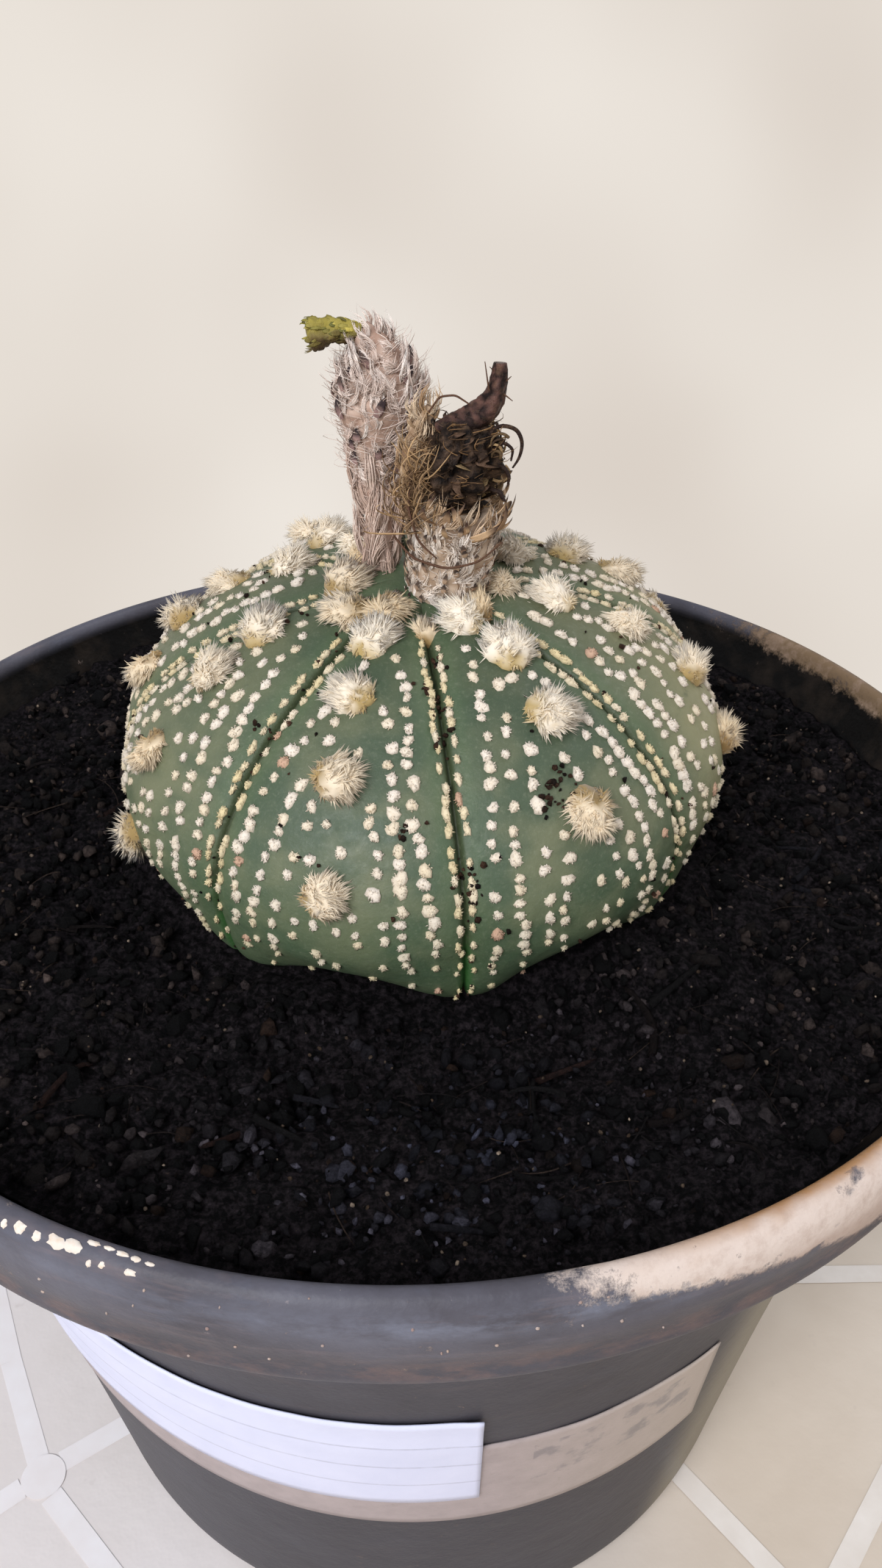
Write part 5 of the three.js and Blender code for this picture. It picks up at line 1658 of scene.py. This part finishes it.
# %% Left bloom
# Centres from the middle of the rim's level, and radii.
LEFT_TUBE = [
    (-2.9, 0.8, 27, 1.5), (-3, 1.2, 32, 1.6), (-3.1, 1.7, 36, 1.8), (-3.3, 2.1, 40, 2.2),
    (-3.3, 2.4, 43.5, 3.0), (-3.1, 2.5, 46.5, 4.1), (-2.9, 2.6, 48.5, 4.7), (-2.6, 2.6, 51, 4.0),
    (-2.8, 2.6, 52.8, 2.7), (-3.4, 2.5, 54.8, 1.6), (-4.6, 2.5, 55.8, 1.1),
]
PINK_WOOL = (linear(216, 194, 182), linear(246, 232, 222))
DULL_WOOL = (linear(196, 168, 152), linear(228, 206, 192))
BRIGHT_WOOL = (linear(238, 222, 212), linear(250, 240, 232))
LEFT_SCALES, LEFT_SCALE_TIP = (linear(150, 122, 118), linear(126, 100, 98)), linear(52, 42, 44)
STRAY_HAIRS, FUZZ, HALO = 80, 700, 440
BLOOM = np.random.default_rng(63)
left = Tube(LEFT_TUBE, 48)
core_points, core_faces = left.solid(36, 0.3, 1.6, 5)
core_shade = smoothstep(noise_at(core_points, 1.3, 6), -0.5, 0.6)
core_colours = mix(linear(166, 136, 120), linear(204, 180, 165), core_shade)
stray_colours = pick_colours(BLOOM, STRAY_HAIRS, linear(204, 182, 168), linear(150, 122, 106))
fuzz_colours = pick_colours(BLOOM, FUZZ, *DULL_WOOL)
halo_colours = pick_colours(BLOOM, HALO, *PINK_WOOL)
foot_places, wide_places = spiral(BLOOM, 56, 0.0, 0.5), spiral(BLOOM, 84, 0.4, 0.86)
mouth_places, scale_places = spiral(BLOOM, 34, 0.74, 0.98), spiral(BLOOM, 34, 0.46, 0.9)
left_parts = [
    (core_points, core_faces, core_colours),
    locks_on(BLOOM, left, foot_places, 13, 5.0, 0.19, 0.1, 0.34, DULL_WOOL),
    locks_on(BLOOM, left, wide_places, 12, 2.7, 0.18, 0.65, 0.2, PINK_WOOL, 0.8),
    locks_on(BLOOM, left, mouth_places, 11, 2.2, 0.17, 0.6, 0.2, PINK_WOOL, 0.6),
    locks_on(BLOOM, left, scale_places, 10, 2.6, 0.15, 0.5, 0.1, BRIGHT_WOOL),
    wool_on(BLOOM, left, FUZZ, 0.05, 0.97, 1.7, 0.12, 0.3, fuzz_colours, 1.3),
    wool_on(BLOOM, left, STRAY_HAIRS, 0.5, 0.96, 4.6, 0.07, 0.6, stray_colours, 0.4),
    wool_on(BLOOM, left, HALO, 0.46, 0.9, 3.2, 0.1, 0.35, halo_colours, 1.4),
    scales_on(BLOOM, left, scale_places, 2.1, 0.95, LEFT_SCALES, LEFT_SCALE_TIP, 0.1, 0.42, 0.35),
]
left_bloom = painted_piece("left_bloom", left_parts, ["spent_bloom_left"])
print("left bloom of", len(left_parts), "layers")

# %% [markdown]
# ## Tip of the left bloom
# A wisp of withered petals hangs over the left edge, yellow-green, frayed at its end and brown
# underneath. It is a ridged tube that swells towards its end, with ragged blades all over it.

# %% Tip of the left bloom
LEFT_TIP = [
    (-4.4, 2.5, 55.7, 1.0), (-6.4, 2.5, 55.9, 1.1), (-8.2, 2.5, 55.75, 1.3), (-9.3, 2.5, 55.5, 1.75),
    (-9.9, 2.5, 55.4, 1.65), (-10.2, 2.5, 55.35, 0.9),
]
TIP_BLADES = 110
BROWN_BELOW, GREEN_ABOVE = POT_HEIGHT + 55.0, POT_HEIGHT + 56.4
tip = Tube(LEFT_TIP, 28, 1)
tip_points, tip_faces = tip.solid(24, 0.5, 1.0, 9, 0.1, 4)
tip_height = tip_points[:, 2] + 0.4 * noise_at(tip_points, 0.8, 10)
tip_colours = mix(linear(84, 66, 46), linear(150, 136, 60), smoothstep(tip_height, BROWN_BELOW, GREEN_ABOVE))
share, turn = BLOOM.uniform(0.05, 0.97, TIP_BLADES), BLOOM.uniform(0, 2 * pi, TIP_BLADES)
roots, out, ahead = tip.at(share, turn, -0.2)
way = unit(ahead + out * BLOOM.uniform(-0.15, 0.45, (TIP_BLADES, 1)))
tips = roots + way * BLOOM.uniform(0.5, 1.6, (TIP_BLADES, 1))
middles = (roots + tips) / 2 + out * 0.3
blade_colours = pick_colours(BLOOM, TIP_BLADES, linear(180, 164, 78), linear(102, 100, 44), 0.3)
below = out[:, 2] < 0.05
blade_colours[below] = pick_colours(BLOOM, below.sum(), linear(96, 80, 52), linear(128, 116, 58))
widths = BLOOM.uniform(0.25, 0.7, TIP_BLADES)
blades = flat_blades(roots, middles, tips, widths, 0.15, out, blade_colours, linear(96, 96, 44), 0.8)
tip_parts = [(tip_points, tip_faces, tip_colours), blades]
left_tip = painted_piece("left_bloom_tip", tip_parts, ["spent_bloom_left_tip"])
print("tip with", TIP_BLADES, "blades")

# %% [markdown]
# ## Right bloom
# The right bloom is shorter and fatter. It has cream wool with many small dark-tipped scales, laid on
# a core as before. From its top edge, golden-brown dried sepals curl up round the dark flower, and
# the brim has browner locks between them.

# %% Right bloom
RIGHT_TUBE = [
    (3.2, -4, 26, 3.3), (4.3, -4.5, 30, 4.1), (5, -5, 34, 4.5), (5.3, -5.6, 37.5, 4.5), (5.7, -6.1, 40, 3.9),
]
CREAM_WOOL = (linear(222, 204, 186), linear(250, 240, 230))
BROWN_HAIR = (linear(96, 74, 60), linear(150, 118, 92))
BRIM_WOOL = (linear(232, 212, 188), linear(196, 164, 130))
RIGHT_SCALES, RIGHT_SCALE_TIP = (linear(190, 164, 140), linear(140, 112, 92)), linear(52, 42, 38)
RIGHT_FUZZ, BROWN_HAIRS, SEPALS = 640, 70, 70
right = Tube(RIGHT_TUBE, 30)
core_points, core_faces = right.solid(44, 0.3, 1.6, 14)
core_shade = smoothstep(noise_at(core_points, 1.2, 16), -0.5, 0.6)
core_colours = mix(linear(158, 134, 112), linear(204, 184, 164), core_shade)
small_places, fill_places = spiral(BLOOM, 84, 0.04, 0.92), spiral(BLOOM, 90, 0.0, 0.92)
right_parts = [
    (core_points, core_faces, core_colours),
    locks_on(BLOOM, right, small_places, 9, 2.2, 0.16, 0.5, 0.14, CREAM_WOOL),
    locks_on(BLOOM, right, fill_places, 9, 2.2, 0.17, 0.5, 0.24, CREAM_WOOL, 0.7),
]
fuzz_colours = pick_colours(BLOOM, RIGHT_FUZZ, *CREAM_WOOL)
right_parts.append(wool_on(BLOOM, right, RIGHT_FUZZ, 0.0, 0.95, 1.5, 0.12, 0.4, fuzz_colours, 1.2))
brown_colours = pick_colours(BLOOM, BROWN_HAIRS, *BROWN_HAIR)
right_parts.append(wool_on(BLOOM, right, BROWN_HAIRS, 0.05, 0.9, 3.0, 0.1, 0.9, brown_colours, 0.6))
right_parts.append(
    scales_on(BLOOM, right, small_places, 1.5, 0.62, RIGHT_SCALES, RIGHT_SCALE_TIP, 0.25, 0.5, 0.4))

share, turn = BLOOM.uniform(0.82, 1.0, SEPALS), BLOOM.uniform(0, 2 * pi, SEPALS)
roots, out, ahead = right.at(share, turn, -0.3)
side = np.cross(out, ahead)
reach = BLOOM.uniform(2.2, 4.6, (SEPALS, 1))
way = ahead * 0.9 + out * BLOOM.uniform(0.1, 0.9, (SEPALS, 1)) + side * BLOOM.normal(0, 0.45, (SEPALS, 1))
tips = roots + unit(way) * reach
sway = out * BLOOM.uniform(0.1, 0.5, (SEPALS, 1)) + side * BLOOM.normal(0, 0.25, (SEPALS, 1))
middles = (roots + tips) / 2 + sway * reach
gold = pick_colours(BLOOM, SEPALS, linear(204, 172, 136), linear(138, 106, 78), 0.15)
widths = BLOOM.uniform(0.4, 1.2, SEPALS)
right_parts.append(flat_blades(roots, middles, tips, widths, 0.22, out, gold, linear(58, 40, 32), 0.7))
brim_places = spiral(BLOOM, 34, 0.8, 0.99)
right_parts.append(locks_on(BLOOM, right, brim_places, 9, 2.8, 0.17, 0.6, 0.24, BRIM_WOOL, 0.7))
print("right bloom of", len(right_parts), "layers")

# %% [markdown]
# ## Matted wool and stamens
# Between the two blooms the wool is matted into one tan mass, a third tube with locks on it. Dried
# stamens rise on the left of the dark flower and lean over it. They cross each other every way, which
# no surface could show, so each is a thin bent strand from a random place along a short line.

# %% Matted wool and stamens
MATTED_WOOL = [
    (1.6, -5.4, 36, 1.2), (1.1, -5.4, 39.5, 1.6), (1.0, -5.3, 43, 1.7), (1.5, -5.2, 46.5, 1.5),
    (2.1, -5.2, 48.8, 0.9), (2.5, -5.2, 50.0, 0.4),
]
TAN_WOOL = (linear(226, 204, 176), linear(176, 142, 106))
STAMENS = 210
STAMEN_FOOT, STAMEN_CLIMB = np.array([1.2, -6.8, 37.6 + POT_HEIGHT]), [0.6, -0.4, 7.0]
matted = Tube(MATTED_WOOL, 24)
matted_points, matted_faces = matted.solid(24, 0.4, 1.2, 33)
matted_shade = smoothstep(noise_at(matted_points, 0.9, 34), -0.5, 0.6)
matted_colours = mix(linear(120, 92, 70), linear(196, 168, 138), matted_shade)
matted_places = spiral(BLOOM, 42, 0.0, 0.98)
right_parts += [
    (matted_points, matted_faces, matted_colours),
    locks_on(BLOOM, matted, matted_places, 8, 2.6, 0.17, 0.6, 0.22, TAN_WOOL, 0.7),
]
climb = BLOOM.random((STAMENS, 1))
scattered = BLOOM.normal(0, 1, (STAMENS, 3)) * [0.7, 1.3, 0.6]
roots = STAMEN_FOOT + climb * STAMEN_CLIMB + scattered
way = unit(np.array([0.3, -0.15, 1.0]) + BLOOM.normal(0, 1, (STAMENS, 3)) * [0.6, 0.35, 0.35])
reach = BLOOM.uniform(2.0, 6.0, (STAMENS, 1))
tips = roots + way * reach
sway = BLOOM.normal(0, 1, (STAMENS, 3)) * [0.45, 0.3, 0.2] + [-0.4, -0.1, 0]
middles = (roots + tips) / 2 + sway * reach
stamen_colours = pick_colours(BLOOM, STAMENS, linear(204, 168, 124), linear(92, 68, 50), 0.15)
widths = BLOOM.uniform(0.1, 0.27, STAMENS)
right_parts.append(strands(BLOOM, roots, middles, tips, widths, stamen_colours, 6))
right_bloom = painted_piece("right_bloom", right_parts, ["spent_bloom_right"])
print("right bloom with", STAMENS, "stamens")

# %% [markdown]
# ## Dark flower
# The dark flower is a lump of shrivelled petals with thin dark threads and a bent stub that rises to
# the right. A lumpy ridged tube gives the mass, and blades rooted inside it and bent every way give
# the torn look, because withered petals have no order. Those on the right are more often pale.

# %% Dark flower
RIGHT_HEAD = [
    (5.6, -6.4, 39.8, 2.2), (5.8, -6.7, 42, 3.3), (5.9, -7, 44.4, 3.8), (6.0, -7.1, 46.6, 3.5),
    (6.0, -7.2, 48.6, 2.3), (6.0, -7.2, 49.6, 0.9),
]
RIGHT_STUB = [
    (3.2, -7.2, 48.4, 0.5), (4.6, -7.3, 48.7, 0.9), (6.6, -7.4, 49.1, 1.35), (8.2, -7.4, 49.9, 1.45),
    (9.2, -7.3, 51.3, 1.15), (9.6, -7.2, 52.9, 0.85), (9.7, -7.1, 54.7, 0.65),
]
PETALS, THREADS = 84, 160
head = Tube(RIGHT_HEAD, 30)
head_points, head_faces = head.solid(48, 1.0, 1.5, 23, 0.14, 6)
head_shade = smoothstep(noise_at(head_points, 1.1, 24), -0.2, 0.9)
head_colours = mix(linear(17, 12, 11), linear(84, 66, 54), head_shade)
stub = Tube(RIGHT_STUB, 36)
stub_points, stub_faces = stub.solid(24, 0.14, 0.9, 27, 0.14, 3)
stub_shade = smoothstep(noise_at(stub_points, 0.9, 28), -0.4, 0.6)
stub_colours = mix(linear(28, 19, 18), linear(98, 70, 62), stub_shade)
share, turn = BLOOM.uniform(0.05, 0.92, PETALS), BLOOM.uniform(0, 2 * pi, PETALS)
roots, out, ahead = head.at(share, turn, -0.9)
side = np.cross(out, ahead)
way = unit(out * 0.7 + ahead * BLOOM.normal(0.3, 1.0, (PETALS, 1)) + side * BLOOM.normal(0, 0.7, (PETALS, 1)))
reach = BLOOM.uniform(1.2, 2.3, (PETALS, 1))
tips = roots + way * reach
sway = out * 0.9 + side * BLOOM.normal(0, 0.9, (PETALS, 1)) + ahead * BLOOM.normal(0.2, 0.6, (PETALS, 1))
middles = roots + sway * reach * 0.8
petal_colours = pick_colours(BLOOM, PETALS, linear(26, 19, 17), linear(120, 94, 76), 0.25)
light_ones = BLOOM.random(PETALS) < 0.12 + 0.4 * smoothstep(roots[:, 0], 6.5, 8.5)
petal_colours[light_ones] = pick_colours(
    BLOOM, light_ones.sum(), linear(176, 148, 112), linear(128, 108, 74), 0.15)
widths = BLOOM.uniform(0.6, 2.0, PETALS)
petals = flat_blades(roots, middles, tips, widths, 0.25, ahead, petal_colours, linear(24, 17, 15), 0.8)
thread_colours = pick_colours(BLOOM, THREADS, linear(58, 42, 36), linear(160, 124, 86), 0.2)
threads = wool_on(BLOOM, head, THREADS, 0.0, 0.95, 2.6, 0.15, 0.3, thread_colours, 2.0)
print("dark flower of", PETALS, "petals")

# %% [markdown]
# ## Long curls
# A few stiff curls stand off the right of the flower like claws, and long threads cross the blooms.
# They are what the eye finds first, so each is given one by one as a thin tube. Short curls by chance
# fill in between.

# %% Long curls
# Centres and radii of the claws, then of the long threads.
CLAWS = [
    [(8.4, -8.2, 48.2, 0.2), (10.0, -8.8, 49.0, 0.22), (11.5, -9, 48.6, 0.22), (12.1, -9, 47.2, 0.2),
     (11.8, -9, 45.6, 0.16), (11.1, -9, 44.6, 0.1)],
    [(8.8, -8.4, 46.2, 0.2), (10.2, -9, 47.3, 0.18), (11.1, -9.2, 46.6, 0.16), (10.9, -9.2, 45.4, 0.1)],
    [(8.6, -8.4, 44.4, 0.3), (10.2, -9.2, 44.8, 0.25), (10.8, -9.4, 43.8, 0.2), (10.6, -9.4, 42.8, 0.1)],
    [(8.4, -8.6, 42.4, 0.3), (9.8, -9.4, 42.2, 0.25), (10.4, -9.6, 41.2, 0.15)],
]
LONG_THREADS = [
    [(-1.4, -7.6, 36.8, 0.13), (0.6, -9.6, 35.0, 0.15), (4.2, -11.2, 34.4, 0.15), (7.6, -11.4, 35.2, 0.13),
     (10.2, -10.2, 37.0, 0.08)],
    [(0.6, -7.4, 44.0, 0.16), (0.2, -8.8, 40.2, 0.16), (1.2, -9.8, 37.0, 0.14), (3.2, -10.2, 35.2, 0.08)],
    [(2.4, -6.6, 49.6, 0.1), (3.6, -7.0, 51.4, 0.12), (5.2, -7.2, 51.6, 0.12), (6.8, -7.4, 50.6, 0.08)],
    [(9.5, -7.4, 51.9, 0.12), (10.3, -7.6, 51.6, 0.09), (11.0, -7.8, 51.1, 0.04)],
    [(9.7, -7.3, 52.9, 0.12), (10.3, -7.5, 53.0, 0.09), (10.8, -7.6, 53.5, 0.04)],
    [(8.9, -7.5, 51.0, 0.13), (8.5, -7.7, 52.6, 0.1), (8.1, -7.8, 55.0, 0.05)],
    [(9.5, -7.2, 53.8, 0.1), (9.0, -7.3, 54.0, 0.07), (8.6, -7.4, 54.4, 0.03)],
]
SMALL_CURLS, CURL_POINTS = 26, 7


def thread(stations, count, sides, colour):
    """One long curl, given as centres and radii."""
    line = Tube(stations, count)
    points, faces = line.solid(sides)
    return points, faces, np.tile(colour, (len(points), 1))


def small_curl(draw):
    """A short dry curl on the right of the flower: part of a circle, seen from the front."""
    height = draw.uniform(40.5, 49.0)
    middle = np.array([draw.uniform(8.6, 10.4), draw.uniform(-9.2, -6.6), height])
    reach, first = draw.uniform(0.5, 1.2), draw.uniform(0, 2 * pi)
    turn = first + np.linspace(0, draw.uniform(2.2, 4.6), CURL_POINTS)
    thick = draw.uniform(0.12, 0.24) * np.linspace(1, 0.5, CURL_POINTS)
    line = middle + np.stack([np.cos(turn), 0.25 * np.cos(turn * 1.3), np.sin(turn)], 1) * reach
    colour = mix(linear(44, 32, 28), linear(176, 146, 106), draw.random() ** 1.3)
    return thread(np.concatenate([line, thick[:, None]], 1), 12, 5, colour)


flower_parts = [
    (head_points, head_faces, head_colours),
    (stub_points, stub_faces, stub_colours),
    petals,
    threads,
    *[thread(line, 22, 8, linear(44, 32, 28)) for line in CLAWS],
    *[thread(line, 26, 5, linear(92, 66, 52)) for line in LONG_THREADS],
    *[small_curl(BLOOM) for _ in range(SMALL_CURLS)],
]
right_flower = painted_piece(
    "right_bloom_flower", flower_parts, ["spent_bloom_right_flower"])
print("curls and threads", len(CLAWS) + len(LONG_THREADS) + SMALL_CURLS)

# %% [markdown]
# ## Finish of the blooms
# Dried wool and petals are matt, and their colour already sits at the points. Each finish adds only
# patches of a second colour and a fine bump. The dark flower has spots that shine a little.

# %% Finish of the blooms
dry = Material("dried wool", 0.85, 0.2)
dry_patch = dry.ramp(dry.noise(0.9, 4.0), 0.45, 0.75, 0.0, 0.3)
dry.colour(dry.mixed(dry_patch, dry.painted(), linear(166, 138, 118)))
dry.bump((dry.noise(0.2, 4.0), 0.05))
dry.on(left_bloom, right_bloom)
wisp = Material("withered petals", 0.6, 0.3)
wisp_patch = wisp.ramp(wisp.noise(1.0, 5.0), 0.45, 0.7, 0.0, 0.6)
wisp.colour(wisp.mixed(wisp_patch, wisp.painted(), linear(96, 86, 46)))
wisp.bump((wisp.noise(0.4, 5.0), 0.15))
wisp.on(left_tip)
dark = Material("shrivelled petals", 0.55, 0.12)
dark_patch = dark.ramp(dark.noise(0.7, 5.0), 0.5, 0.75, 0.0, 0.5)
dark.colour(dark.mixed(dark_patch, dark.painted(), linear(110, 86, 66)))
dark.roughness(dark.ramp(dark.noise(1.6), 0.4, 0.6, 0.3, 0.7))
dark.bump((dark.noise(0.3, 5.0), 0.12), (dark.noise(1.2, 5.0), 0.3))
dark.on(right_flower)
print("blooms finished")
